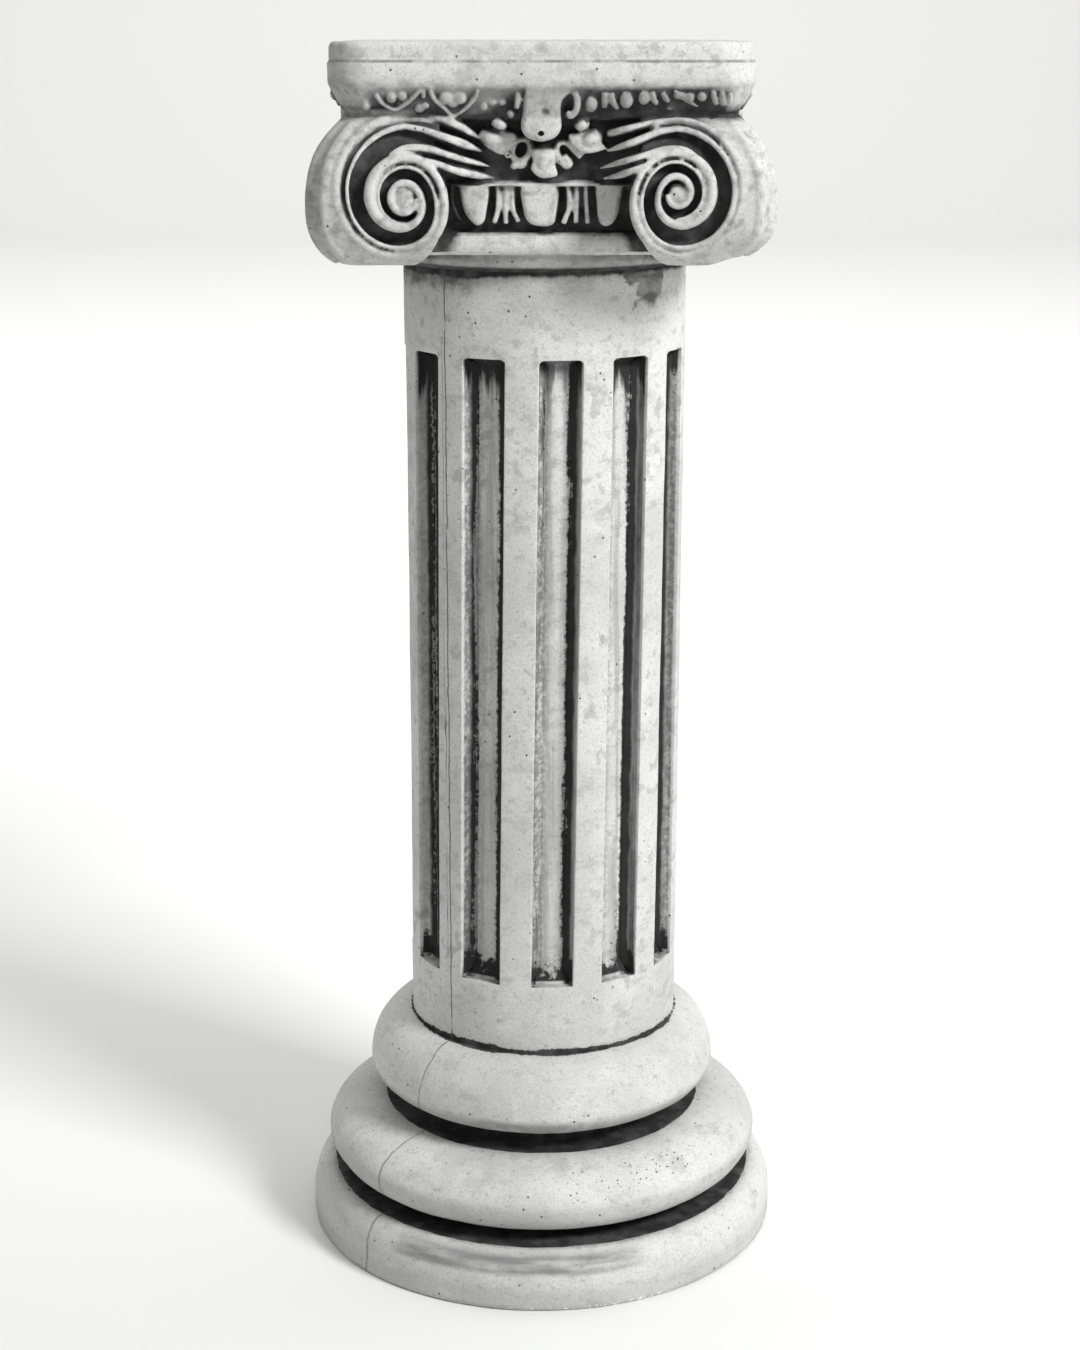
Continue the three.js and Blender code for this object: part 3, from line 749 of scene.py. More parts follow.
def make_egg_band():
    pieces = []
    top = EGG_TOP + 2.0
    eggs = (
        ((-48.6, top), (-47.6, 706.0), (-43.8, 698.0), (-38.4, 693.6), (-34.0, 696.5), (-32.2, 705.0),
         (-31.8, top)),
        ((-11.6, top), (-11.3, 703.0), (-7.8, 695.4), (-0.9, 693.0), (6.4, 693.8), (9.2, 700.5), (8.8, top)),
        ((49.2, top), (47.3, 706.0), (43.6, 696.2), (38.4, 693.0), (33.9, 696.0), (32.4, 706.0), (32.8, top)),
    )
    for egg in eggs:
        pieces.append(carved("egg", rounded(egg), EGG_BAND_HALF + 10.0, EGG_BAND_HALF - 4, 3.6))
    darts = (((-26.4, top), (-25.9, 704.0), (-28.4, 695.2)), ((-21.2, top), (-21.6, 704.0), (-21.2, 694.6)),
             ((-17.3, top), (-17.0, 704.0), (-13.6, 695.8)), ((15.6, top), (16.6, 705.0), (12.8, 695.0)),
             ((21.1, top), (20.8, 705.0), (20.6, 695.2)), ((26.4, top), (26.9, 705.0), (27.6, 694.8)))
    for dart in darts:
        line = [(across, level, 1.9) for across, level in bent(dart, 5)]
        pieces += [stroke("dart", line, EGG_BAND_HALF + proud) for proud in (8.0, 5.0)]
    for middle in (-21.5, 21.2):
        block = ((middle - 6.5, top), (middle - 6.0, 704.0), (middle + 6.0, 704.0), (middle + 6.5, top))
        pieces.append(prism("dart", block, EGG_BAND_HALF + 6.2, EGG_BAND_HALF - 4))
    shells = (((-53.3, top, 1.1), (-53.4, 708.7, 1.4), (-51.2, 701.7, 1.3), (-48.3, 696.4, 0.8)),
              ((52.2, top, 1.0), (52.0, 709.0, 1.2), (51.4, 702.0, 0.9)))
    for shell in shells:
        pieces += [stroke("shell", bent(shell, 5), EGG_BAND_HALF + proud) for proud in (6.0, 3.5)]
    lip = ((-54.0, EGG_TOP - 0.6), (54.5, EGG_TOP - 0.6), (54.5, EGG_TOP + 1.4), (-54.0, EGG_TOP + 1.4))
    pieces.append(prism("lip", lip, EGG_BAND_HALF + 10.5, EGG_BAND_HALF - 4))
    return pieces


def make_flower():
    """The tongue, its leaf collar, curls and berries in the middle of the face."""
    ground = GROUND_HALF
    tongue = ((-8.5, 779.0), (-10.2, 770.5), (-11.0, 761.4), (-12.0, 751.5), (-8.5, 746.0), (-0.3, 743.6),
              (7.9, 746.0), (11.6, 752.0), (11.2, 761.4), (12.5, 767.1), (17.5, 771.8), (16.0, 779.0))
    left = ((-34.6, 750.4), (-24.4, 750.2), (-15.2, 748.6), (-13.8, 743.9), (-18.2, 738.9),
            (-22.7, 735.6), (-28.0, 737.0), (-35.0, 741.4), (-37.4, 745.6))
    right = ((15.8, 747.6), (24.0, 748.5), (32.2, 750.4), (34.2, 744.2), (38.2, 739.0), (29.5, 736.2),
             (22.4, 737.0), (17.4, 742.0))
    middle = ((-5.8, 738.6), (0.5, 739.6), (6.8, 738.6), (7.8, 731.0), (9.6, 723.6), (4.5, 721.9),
              (-1.0, 722.2), (-6.2, 727.2), (-5.0, 732.5))
    leaves = ((left, 10.5, (-29.0, ground + 6.0, 745.0), (14.0, 14.0, 11.0), 10.0),
              (right, 10.8, (29.5, ground + 6.0, 744.5), (13.0, 14.0, 10.0), -12.0),
              (middle, 9.8, (1.0, ground + 4.0, 732.0), (10.0, 15.0, 14.0), 0.0))
    tongue_piece = carved("tongue", rounded(tongue), ABACUS_HALF + 0.4, ground - 6, 5.0)
    for across, level, size, deep in ((2.0, 760.3, 3.0, 2.4), (-0.3, 748.2, 1.8, 5.0)):
        dent = ball("tool", (across, ABACUS_HALF + 0.6, level), (size, deep, size * 0.8))
        boolean(tongue_piece, dent, "DIFFERENCE")
    pieces = [tongue_piece]
    for outline, proud, centre, size, turn in leaves:
        pieces.append(carved("leaf", rounded(outline), ground + proud, ground - 6, 2.4))
        pieces.append(pillow("leaf", centre, size, turn))
    pieces += [
        pillow("berry", (-24.8, ground + 11.0, 753.6), (9.4, 12.0, 6.8), 22.0),
        ball("berry", (23.6, ground + 10.5, 753.4), (4.8, 6.4, 4.6)),
        ball("berry", (-17.6, ground + 13.5, 759.8), (3.1, 6.5, 3.4)),
        pillow("leaf", (28.7, moulding_half(766.0) - 3.5, 766.0), (8.8, 13.0, 11.5)),
        ball("leaf", (-19.8, ground + 5.0, 735.2), (2.2, 4.0, 2.2)),
        ball("leaf", (-12.5, ground + 5.0, 730.5), (5.2, 5.0, 3.4)),
        ball("leaf", (-16.3, ground + 5.0, 729.0), (2.4, 5.0, 2.4)),
    ]
    ribbons = (
        ((-17.2, 737.6, 2.0), (-15.6, 742.4, 2.3), (-11.0, 744.6, 2.2), (-7.0, 742.0, 2.4),
         (-6.9, 736.4, 2.5), (-10.3, 732.2, 2.6), (-15.0, 732.4, 2.2), (-17.4, 736.0, 2.0)),
        ((14.0, 743.0, 1.9), (9.8, 741.6, 2.0), (8.9, 737.4, 2.2), (10.6, 732.4, 2.8), (14.6, 729.4, 3.0),
         (16.4, 731.2, 2.6), (13.2, 735.4, 2.0)),
        ((12.6, 743.2, 1.8), (16.2, 741.2, 2.1), (19.4, 737.8, 2.2), (23.6, 733.8, 2.0)),
    )
    for ribbon in ribbons:
        run = bent(ribbon, 5)
        pieces += [stroke("ribbon", run, ground + depth) for depth in (8.2, 5.0)]
    curls = (((9.0, 773.6, 3.0), (15.0, 773.4, 3.2), (19.6, 771.0, 2.6), (20.8, 765.6, 2.3),
              (19.8, 760.8, 2.2), (17.0, 758.4, 2.2), (14.6, 760.4, 1.8)),
             ((-13.6, 772.0, 1.6), (-13.8, 767.0, 2.2), (-14.4, 762.0, 1.8)))
    for curl in curls:
        pieces += [stroke("curl", bent(curl, 5), ABACUS_HALF - depth) for depth in (0.6, 4.0)]
    return pieces


def on_moulding(name, points, proud=1.4):
    """A thin ridge on the sloping moulding, through points of across, up and radius."""
    run = [(across, moulding_half(level) - radius + proud, level, radius) for across, level, radius in points]
    return bead(name, run, 4)


def lobe(across, level, wide, tall, proud=1.8):
    place = (across, moulding_half(level) + proud - 3.6, level)
    return ball("lobe", place, (wide * 1.15, 3.8, tall * 1.15))


def broad_stroke(points):
    broader = [(across, level, radius * 1.3) for across, level, radius in bent(points, 5)]
    return on_moulding("stroke", broader, 1.8)


def make_moulding_left():
    """Two hearts with lobed berries inside, and a drop between them."""
    hearts = (((-96.5, 770.5), (-92.5, 765.0), (-85.6, 761.6), (-79.5, 764.8), (-74.0, 769.3),
               (-70.6, 773.0)),
              ((-64.8, 773.0), (-62.3, 767.6), (-56.6, 762.4), (-51.8, 758.0), (-44.9, 761.9),
               (-39.6, 767.6), (-37.0, 773.0)))
    pieces = []
    for heart in hearts:
        pieces.append(on_moulding("heart", [(across, level, 1.3) for across, level in bent(heart, 6)], 1.8))
    pieces += [lobe(-87.4, 769.6, 3.2, 3.8), lobe(-81.0, 770.4, 3.0, 3.2), lobe(-55.6, 769.8, 4.2, 4.4),
               lobe(-47.6, 769.6, 4.2, 4.4), lobe(-51.6, 765.6, 3.4, 2.6), lobe(-71.2, 762.8, 3.0, 2.8, 2.2),
               lobe(-67.6, 764.4, 2.2, 2.4, 2.0), lobe(-28.0, 766.4, 3.4, 2.4, 1.0),
               lobe(-22.6, 766.8, 2.8, 3.0, 1.0), lobe(-33.5, 765.0, 2.4, 3.6, 0.8)]
    pieces.append(on_moulding("drop", ((-68.6, 773.0, 1.0), (-68.8, 768.4, 1.3)), 1.5))
    return pieces


def make_moulding_right():
    """A worn row of small tongues, lobes and slanting strokes."""
    pieces = [lobe(49.6, 769.2, 3.9, 6.2, 2.2), lobe(59.6, 769.8, 3.4, 4.8, 2.2), lobe(80.5, 770.4, 4.6, 2.8),
              lobe(86.4, 769.6, 3.0, 3.6), lobe(93.4, 769.8, 3.2, 3.4, 2.0), lobe(75.0, 762.4, 3.6, 1.8, 1.0)]
    strokes = (((36.8, 771.6, 1.2), (36.9, 767.0, 1.9), (36.6, 762.6, 1.2)),
               ((40.4, 771.6, 1.5), (41.8, 766.6, 1.8), (45.0, 762.0, 1.0)),
               ((64.2, 772.2, 1.4), (65.6, 768.0, 1.6), (67.4, 764.6, 1.0)),
               ((70.2, 772.0, 1.4), (72.4, 768.4, 1.6), (74.4, 766.0, 1.0)),
               ((77.0, 773.0, 1.0), (84.0, 767.4, 1.2), (91.5, 763.4, 0.8)))
    return pieces + [broad_stroke(points) for points in strokes]


def make_moulding_end():
    """The strokes next to the right corner, on the front only: the other corners stay plain."""
    strokes = (((99.6, 772.6, 1.2), (100.8, 768.4, 1.7), (102.2, 764.4, 1.0)),
               ((104.6, 772.2, 1.1), (105.6, 768.6, 1.5), (106.6, 764.4, 1.6)),
               ((109.8, 771.4, 1.0), (110.0, 767.6, 1.3), (109.0, 763.8, 1.0)))
    return [lobe(-102.5, 766.0, 3.2, 4.8, 0.8)] + [broad_stroke(points) for points in strokes]


def make_capital():
    face = make_egg_band() + make_flower() + make_moulding_left() + make_moulding_right()
    face += make_corner_ridges()
    for side in (-1, 1):
        face += make_scroll(side) + make_leaf_sweep(side)
    face = joined(face, "face")
    faces = turned_copies([face], (90, 180, 270))
    collar = turned("collar", [
        (0.0, SHAFT_TOP), (COLLAR_RADIUS - 4.5, SHAFT_TOP), (COLLAR_RADIUS - 1.5, SHAFT_TOP + 2.2),
        (COLLAR_RADIUS, SHAFT_TOP + 6.0), (COLLAR_RADIUS + 0.5, COLLAR_TOP + 3.0), (0.0, COLLAR_TOP + 3.0)],
        120)
    masses = [make_core(), make_corner_masses(), collar, face]
    capital = joined(masses + make_moulding_end() + faces, "capital")
    apply(capital, "REMESH", mode="VOXEL", voxel_size=VOXEL * MM, adaptivity=0.0)
    apply(capital, "SMOOTH", factor=0.5, iterations=SMOOTHINGS)
    for vertex in capital.data.vertices:
        low = 1.0 - smoothstep(vertex.co.z / MM, SWELL_FOOT, SWELL_FOOT + WORN_HEIGHT)
        vertex.co.z += WORN_CORNER * MM * low * smoothstep(vertex.co.x / MM, *WORN_ACROSS)
    return capital


def roughen(piece, size, depth):
    """Slight unevenness of the cast surface."""
    texture = bpy.data.textures.new(piece.name + "_cast", "CLOUDS")
    texture.noise_scale = size * MM
    texture.noise_depth = 3
    apply(piece, "DISPLACE", texture=texture, texture_coords="GLOBAL", strength=depth * MM, mid_level=0.5)


def flatten_underside(piece):
    for vertex in piece.data.vertices:
        if vertex.co.z < FLAT_UNDERSIDE * MM:
            vertex.co.z = 0.0


def thin(piece):
    triangles = sum(len(face.vertices) - 2 for face in piece.data.polygons)
    if triangles > MOST_TRIANGLES:
        apply(piece, "DECIMATE", ratio=MOST_TRIANGLES / triangles)


# How deep in a recess and how near a crease each point lies, which is where the dark patina stays

def hemisphere(count):
    """Evenly spread directions about +Z, denser near it."""
    directions = []
    for index in range(count):
        lift = math.sqrt(1.0 - (index + 0.5) / count)
        flat = math.sqrt(1.0 - lift * lift)
        angle = index * math.pi * (3.0 - math.sqrt(5.0))
        directions.append((flat * math.cos(angle), flat * math.sin(angle), lift))
    return np.array(directions)


def mark_recesses(pieces):
    vertices, triangles, offset = [], [], 0
    for piece in pieces:
        piece.data.calc_loop_triangles()
        vertices += [vertex.co for vertex in piece.data.vertices]
        for triangle in piece.data.loop_triangles:
            triangles.append([offset + index for index in triangle.vertices])
        offset = len(vertices)
    tree = BVHTree.FromPolygons(vertices, triangles)
    directions = hemisphere(RAYS)
    recess_reach, crease_reach = RECESS_REACH * MM, CREASE_REACH * MM
    for piece in pieces:
        mesh = piece.data
        count = len(mesh.vertices)
        places = np.empty(count * 3)
        normals = np.empty(count * 3)
        mesh.vertices.foreach_get("co", places)
        mesh.vertices.foreach_get("normal", normals)
        places, normals = places.reshape(-1, 3), normals.reshape(-1, 3)
        helper = np.where(np.abs(normals[:, 2:]) < 0.9, (0.0, 0.0, 1.0), (1.0, 0.0, 0.0))
        side = np.cross(helper, normals)
        side /= np.linalg.norm(side, axis=1, keepdims=True)
        up = np.cross(normals, side)
        starts = places + normals * RAY_START * MM
        hits = np.full((RAYS, count), recess_reach)
        for ray, (across, along, lift) in enumerate(directions):
            rays = side * across + up * along + normals * lift
            for index in range(count):
                distance = tree.ray_cast(starts[index], rays[index], recess_reach)[3]
                if distance is not None:
                    hits[ray, index] = distance
        edges = np.empty(len(mesh.edges) * 2, dtype=np.int64)
        mesh.edges.foreach_get("vertices", edges)
        first, second = edges.reshape(-1, 2).T
        degree = np.bincount(first, minlength=count) + np.bincount(second, minlength=count)
        for name, reach in (("recess", recess_reach), ("crease", crease_reach)):
            closed = np.maximum(0.0, 1.0 - hits / reach).mean(axis=0)
            for _ in range(2):
                around = np.bincount(first, closed[second], count)
                around += np.bincount(second, closed[first], count)
                closed = 0.5 * closed + 0.5 * around / np.maximum(degree, 1)
            layer = mesh.attributes.new(name, "FLOAT", "POINT")
            layer.data.foreach_set("value", closed)
        wash = mesh.attributes.new("wash", "FLOAT", "POINT")
        wash.data.foreach_set("value", [washed(vertex.co) for vertex in mesh.vertices])


# Material: nodes written as expressions

class Wire:
    """A socket whose arithmetic adds Math nodes."""

    def __init__(self, net, socket):
        self.net = net
        self.socket = socket

    def math(self, operation, *others):
        return self.net.node("ShaderNodeMath", {"operation": operation}, [self, *others])

    def __add__(self, other):
        return self.math("ADD", other)

    __radd__ = __add__

    def __sub__(self, other):
        return self.math("SUBTRACT", other)

    def __rsub__(self, other):
        return self.net.node("ShaderNodeMath", {"operation": "SUBTRACT"}, [other, self])

    def __mul__(self, other):
        return self.math("MULTIPLY", other)

    __rmul__ = __mul__

    def larger(self, other):
        return self.math("MAXIMUM", other)

    def size(self):
        return self.math("ABSOLUTE")

    def ramp(self, low, high):
        """0 below low, 1 above high, smooth between."""
        settings = {"interpolation_type": "SMOOTHSTEP"}
        return self.net.node("ShaderNodeMapRange", settings, [self, low, high, 0.0, 1.0])

    def band(self, middle, half, soft):
        """1 within half of a middle value, fading out over a soft edge."""
        return 1.0 - (self - middle).size().ramp(half, half + soft)

    def within(self, low, high, soft):
        """1 from low to high, fading out over a soft edge."""
        return self.band((low + high) / 2, (high - low) / 2, soft)


def apart(first, second):
    """The long side of a right-angled triangle."""
    return (first * first + second * second).math("SQRT")


def sway(noise, reach):
    """A noise as a push to both sides, its whole reach given."""
    return (noise - 0.5) * reach


class Net:
    def __init__(self, material):
        self.tree = material.node_tree
        self.surface = self.tree.nodes["Principled BSDF"]

    def node(self, kind, settings, inputs, output=0):
        made = self.tree.nodes.new(kind)
        for key, value in settings.items():
            setattr(made, key, value)
        pairs = inputs.items() if isinstance(inputs, dict) else enumerate(inputs)
        for key, value in pairs:
            if isinstance(value, Wire):
                self.tree.links.new(value.socket, made.inputs[key])
            else:
                made.inputs[key].default_value = value
        return Wire(self, made.outputs[output])

    def blend(self, low, high, share):
        inputs = {0: share, 6: low, 7: high}
        return self.node("ShaderNodeMix", {"data_type": "RGBA"}, inputs, 2)


def grey(value):
    return (value, value, value * BLUE_SHARE, 1.0)


# Tones of the stone, of what wash and weather left on it, and of the painted shade, as linear grey
BLUE_SHARE = 0.995
TONES = {
    "dull body": 0.50, "body": 0.62, "pale patch": 0.68, "dull smear": 0.36, "dark grain": 0.33,
    "pale grain": 0.78, "sand": 0.24, "blotch": 0.27, "mottle": 0.24, "worn moulding": 0.17,
    "left mass shade": 0.2, "painted neck shade": 0.2, "streak": 0.16, "thin wash": 0.13, "shade under collar": 0.07,
    "thick wash": 0.014, "brushed wash": 0.065, "flute wash": 0.009, "stain": 0.17, "underside shade": 0.22,
    "hole": 0.03, "flake": 0.85, "seam": 0.08, "step line": 0.1, "abacus foot dirt and shade": 0.2,
}
# Noises: cycles per metre, for each axis where they differ, then detail and roughness
NOISES = {
    "cloud": (9.0, 6.0, 0.65),
    "wobble": (60.0, 3.0, 0.55),
    "patch": (55.0, 5.0, 0.6),
    "blotch": (100.0, 3.0, 0.5),
    "mottle": (170.0, 2.0, 0.5),
    "speck": (260.0, 4.0, 0.7),
    "grain": (800.0, 3.0, 0.75),
    "streak": ((150.0, 150.0, 7.0), 4.0, 0.6),
    "smear": ((40.0, 40.0, 90.0), 5.0, 0.65),
    "ribbon": ((26.0, 26.0, 190.0), 3.0, 0.5),
    "hole_groups": (30.0, 2.0, 0.55),
}
AIR_HOLES = 110.0
PIN_HOLES = 260.0
# The wash in a groove of the base: the radius where it stops, and its lowest and highest level
GROOVE_WASH = ((107.5, 85.5, 100.5), (144.0, 36.0, 48.0))
# Flutes by their turn from the front in degrees: the middle, half width and soft edge of a zone
FAR_LEFT_FLUTE = (-60.0, 12.0, 8.0)
LEFT_FLUTES = (-45.0, 28.0, 10.0)
FRONT_FLUTE = (4.0, 9.0, 5.0)
RIGHT_FLUTE = (40.0, 7.0, 3.0)
FAR_RIGHT_FLUTE = (66.0, 9.0, 3.0)
# The mould seam and the crack beside it: the middle, half width and soft edge of their turn
SEAM_LINE = (-0.735, 0.003, 0.005)
CRACK_LINE = (-0.77, 0.001, 0.004)
SEAM_TOP = 660.0
# Stains and the painted shade on undersides of the base: the middle, half width and soft edge of their level,
# then their turn
DISC_STAIN = ((30.5, 3.5, 4.0), (-0.12, 0.42, 0.2))
RING_SMUDGE = ((107.0, 3.0, 5.0), (-0.05, 0.28, 0.2))
PINNED_RING = ((77.0, 6.0, 3.0), (0.42, 0.33, 0.1))
RING_UNDERSIDE_SHADE = ((57.0, 6.0, 7.0), (105.0, 4.0, 7.0))
DISC_FOOT_SHADE = (4.0, 6.0, 8.0)
# Radii where the disc's side begins, and where the rings stand out
DISC_SIDE_REACH = (146.0, 150.0)
RINGS_REACH = (100.0, 105.0)


class Stone:
    """The cast stone's tone so far, and what its layers read. Lengths are in millimetres, and a turn
    is in radians to the right of the front."""

    def __init__(self, net):
        self.net = net
        self.tone = None
        self.place = net.node("ShaderNodeTexCoord", {}, [], "Object")
        self.across, self.away, self.level = [
            net.node("ShaderNodeSeparateXYZ", {}, [self.place], axis) * (1.0 / MM) for axis in range(3)]
        self.turn = net.node("ShaderNodeMath", {"operation": "ARCTAN2"}, [self.across, 0.0 - self.away])
        self.radius = apart(self.across, self.away)
        shaft_middle = (SHAFT_OFF_FOOT + SHAFT_OFF_HEAD) / 2
        self.from_shaft_middle = apart(self.across - shaft_middle, self.away)
        for name in ("recess", "crease", "wash", "flute_angle"):
            setattr(self, name, net.node("ShaderNodeAttribute", {"attribute_name": name}, [], "Fac"))
        for name, (scale, detail, roughness) in NOISES.items():
            setattr(self, name, self.noise(scale, detail, roughness))
        self.ragged = sway(self.patch, 0.30) + sway(self.streak, 0.26) + sway(self.speck, 0.12)

    def noise(self, scale, detail, roughness):
        place = self.place
        if isinstance(scale, tuple):
            place = self.net.node("ShaderNodeVectorMath", {"operation": "MULTIPLY"}, [place, scale])
            scale = 1.0
        inputs = {"Vector": place, "Scale": scale, "Detail": detail, "Roughness": roughness}
        return self.net.node("ShaderNodeTexNoise", {}, inputs)

    def dots(self, scale, low, high):
        """1 in the middle of scattered cells, 0 beyond the higher distance from it."""
        inputs = {"Vector": self.place, "Scale": scale, "Randomness": 1.0}
        return 1.0 - self.net.node("ShaderNodeTexVoronoi", {"feature": "F1"}, inputs).ramp(low, high)

    def spot(self, level, turn):
        return self.level.band(*level) * self.turn.band(*turn)

    def paint(self, name, share):
        self.tone = self.net.blend(self.tone, grey(TONES[name]), share)


def paint_body(stone):
    """Pale cement with duller and paler patches, a fine grain and specks of sand."""
    dull, body = grey(TONES["dull body"]), grey(TONES["body"])
    stone.tone = stone.net.blend(dull, body, stone.cloud.ramp(0.38, 0.62))
    stone.paint("pale patch", stone.patch.ramp(0.55, 0.75) * 0.5)
    stone.paint("dull smear", (1.0 - stone.smear.ramp(0.3, 0.47)) * 0.55)
    stone.paint("dark grain", stone.grain.ramp(0.5, 0.7) * 0.6)
    stone.paint("pale grain", (1.0 - stone.grain.ramp(0.3, 0.45)) * 0.4)
    stone.paint("sand", stone.speck.ramp(0.56, 0.7) * 0.5)


def paint_weather(stone):
    """Blotches, most of them above the base, the greyer carving, and painted shade on the left side of the
    capital, mottled like dirt.
    """
    above_base = 0.2 + stone.level.ramp(BASE_HEIGHT, BASE_HEIGHT + 6.0) * 0.8
    blotches = stone.blotch.ramp(0.54, 0.68) * stone.cloud.ramp(0.38, 0.55)
    stone.paint("blotch", blotches * above_base * 0.5)
    in_capital = stone.level.ramp(SHAFT_TOP - 2.0, SHAFT_TOP)
    on_abacus = stone.level.ramp(ABACUS_FOOT - 1.0, ABACUS_FOOT + 2.0)
    mottled = stone.mottle.ramp(0.5, 0.75) * in_capital * (0.55 - on_abacus * 0.3)
    carved_zone = stone.level.within(BEAD_TOP, ABACUS_FOOT, 2.0)
    stone.paint("mottle", mottled + carved_zone * stone.mottle * 0.24)
    moulding = stone.level.within(MOULDING_FOOT + 1.5, ABACUS_FOOT - 1.5, 2.5)
    moulding = moulding * stone.across.within(-89.0, 103.0, 14.0)
    rightwards = 0.34 + stone.across.ramp(-30.0, 40.0) * 0.26
    stone.paint("worn moulding", moulding * rightwards * (0.6 + stone.smear * 0.8))
    # Painted shade: the capital's left side, away from the key light, is made darker, mottled by the smear
    # noise.
    left_mass_shade = 1.0 - (stone.across + sway(stone.smear, 60.0)).ramp(-135.0, -100.0)
    stone.paint("left mass shade", left_mass_shade * in_capital * (0.32 + stone.smear.ramp(0.4, 0.62) * 0.4))


def flute_wash_and_shade(stone):
    """Where the flutes are; the wash in their corners and feet, with painted shade in their right corners and
    on the right flute's right wall; the painted shadow under their heads; and the streaks on their floors,
    which carry that shadow too.
    """
    in_flute = 1.0 - stone.from_shaft_middle.ramp(SHAFT_RADIUS - 3.2, SHAFT_RADIUS - 1.4)
    in_flute = in_flute * stone.level.within(FLUTE_FOOT, FLUTE_HEAD, 1.0)
    wavy_depth = stone.from_shaft_middle + sway(stone.patch, 4.0)
    near_floor = 1.0 - wavy_depth.ramp(SHAFT_RADIUS - 9.5, SHAFT_RADIUS - 5.0)
    degrees = stone.turn * (180.0 / math.pi)
    far_left, front = degrees.band(*FAR_LEFT_FLUTE), degrees.band(*FRONT_FLUTE)
    angle = stone.flute_angle + (sway(stone.streak, 7.0) + sway(stone.speck, 5.0))

    # Painted shade with some wash: each flute's right corner is darkened as if out of the light, reaching
    # further over the far-left flute's floor.
    right_corner_wash_and_shade = (angle + far_left * 9.0).ramp(2.6, 5.2) * (0.3 + near_floor * 0.7)
    # Painted shade on the right wall of the right-hand flute.
    right_wall_shade = stone.flute_angle.ramp(4.6, 6.0) * degrees.band(*RIGHT_FLUTE)
    left_corner = (1.0 - angle.ramp(-6.3, -4.6)) * near_floor
    here_and_there = stone.cloud.ramp(0.4, 0.6) * stone.streak.ramp(0.4, 0.55)
    left_corner = left_corner * degrees.band(*LEFT_FLUTES).larger(here_and_there)
    # Painted shadow cast down from each flute's head, with a streaky lower edge.
    streaked_level = stone.level + sway(stone.streak, 90.0) + sway(stone.patch, 20.0)
    head_shadow = streaked_level.ramp(FLUTE_HEAD - 30.0, FLUTE_HEAD - 6.0)
    heaped = sway(stone.patch, 30.0) + sway(stone.speck, 30.0) - stone.flute_angle * stone.flute_angle * 0.1
    foot = 1.0 - (stone.level + heaped).ramp(FLUTE_FOOT + 5.5, FLUTE_FOOT + 14.0)
    foot = foot * stone.level.ramp(FLUTE_FOOT + 0.8, FLUTE_FOOT + 2.6)
    dirt_and_shade = right_corner_wash_and_shade.larger(right_wall_shade * (0.45 + stone.streak * 0.3)).larger(left_corner)
    dirt_and_shade = dirt_and_shade.larger(head_shadow * (0.9 - front * 0.35)).larger(foot)

    left_side = 1.0 - angle.ramp(-6.0, -1.0)
    specked = stone.speck.ramp(0.4, 0.56)
    streaks_and_head_shadow = stone.streak.ramp(0.42, 0.62) * 0.4 + (1.0 - near_floor) * 0.12 + left_side * specked * 0.6
    streaks_and_head_shadow = streaks_and_head_shadow * (1.0 - far_left * 0.6) + degrees.band(*FAR_RIGHT_FLUTE) * specked * 0.5
    # The streaks also carry the painted shadow under the flute heads.
    streaks_and_head_shadow = streaks_and_head_shadow.larger(head_shadow * 0.8) + left_side * front * 0.15
    return in_flute, dirt_and_shade, streaks_and_head_shadow


def groove_wash(stone):
    """In the grooves of the base the wash stops in a ragged line on the ring below."""
    ragged_radius = stone.radius + stone.ragged * 10.0
    upper, lower = [(1.0 - ragged_radius.ramp(edge, edge + 2.0)) * stone.level.within(low, high, 0.5)
                    for edge, low, high in GROOVE_WASH]
    return upper + lower


def foot_line_wash(stone):
    """A thin broken line round the foot of the shaft, thicker at the left, and how near the foot is."""
    thinner = stone.turn.ramp(0.35, 0.55) * 1.3 + stone.turn.band(-0.17, 0.1, 0.1) * 1.2
    thinner = thinner - stone.turn.band(-0.75, 0.3, 0.15) * 0.6
    from_joint = apart(stone.from_shaft_middle - SHAFT_RADIUS, stone.level - BASE_HEIGHT)
    from_joint = from_joint + sway(stone.speck, 5.0) + sway(stone.cloud, 12.0)
    line = 1.0 - (from_joint + thinner).ramp(1.3, 2.8)
    return line, stone.level.band(BASE_HEIGHT, 12.0, 12.0)


def collar_wash_and_shade(stone):
    """The painted shade under the collar, as a dark line and a ragged patch hanging from it, the painted
    shade on the left of the shaft's neck, and the wash on the collar.
    """
    wavering = stone.turn + sway(stone.blotch, 0.3) + sway(stone.smear, 0.3)
    reaching = wavering.band(0.79, 0.08, 0.14) * 20.0 + wavering.band(-0.95, 0.35, 0.45) * 10.0
    reaching = reaching * (stone.blotch * 1.2 + stone.smear * 0.8)
    lower_at_left = stone.turn.band(-0.85, 0.4, 0.3) * 2.5
    on_shaft = 1.0 - stone.level.ramp(SHAFT_TOP + 1.5, SHAFT_TOP + 4.0)
    # Painted shade: a dark ragged line right under the collar, and a ragged patch hanging lower at the right
    # and the left.
    line = (stone.level + stone.ragged * 12.0 + lower_at_left).ramp(SHAFT_TOP - 4.5, SHAFT_TOP - 1.0)
    shade_hanging_below_collar = (stone.level + stone.ragged * 20.0 + reaching).ramp(SHAFT_TOP - 7.0, SHAFT_TOP + 3.0)
    # Painted shade on the left of the shaft's neck, darker towards the collar.
    neck = stone.level.ramp(SHAFT_TOP - 60.0, SHAFT_TOP - 10.0) * (1.0 - stone.turn.ramp(-0.9, -0.45))
    stone.paint("painted neck shade", neck * on_shaft * (0.2 + stone.smear * 0.3))
    on_collar = stone.level.band(SHAFT_TOP + 6.0, 4.0, 3.0) * (1.0 - stone.radius.ramp(103.5, 104.5))
    return line * on_shaft, shade_hanging_below_collar * on_shaft, on_collar


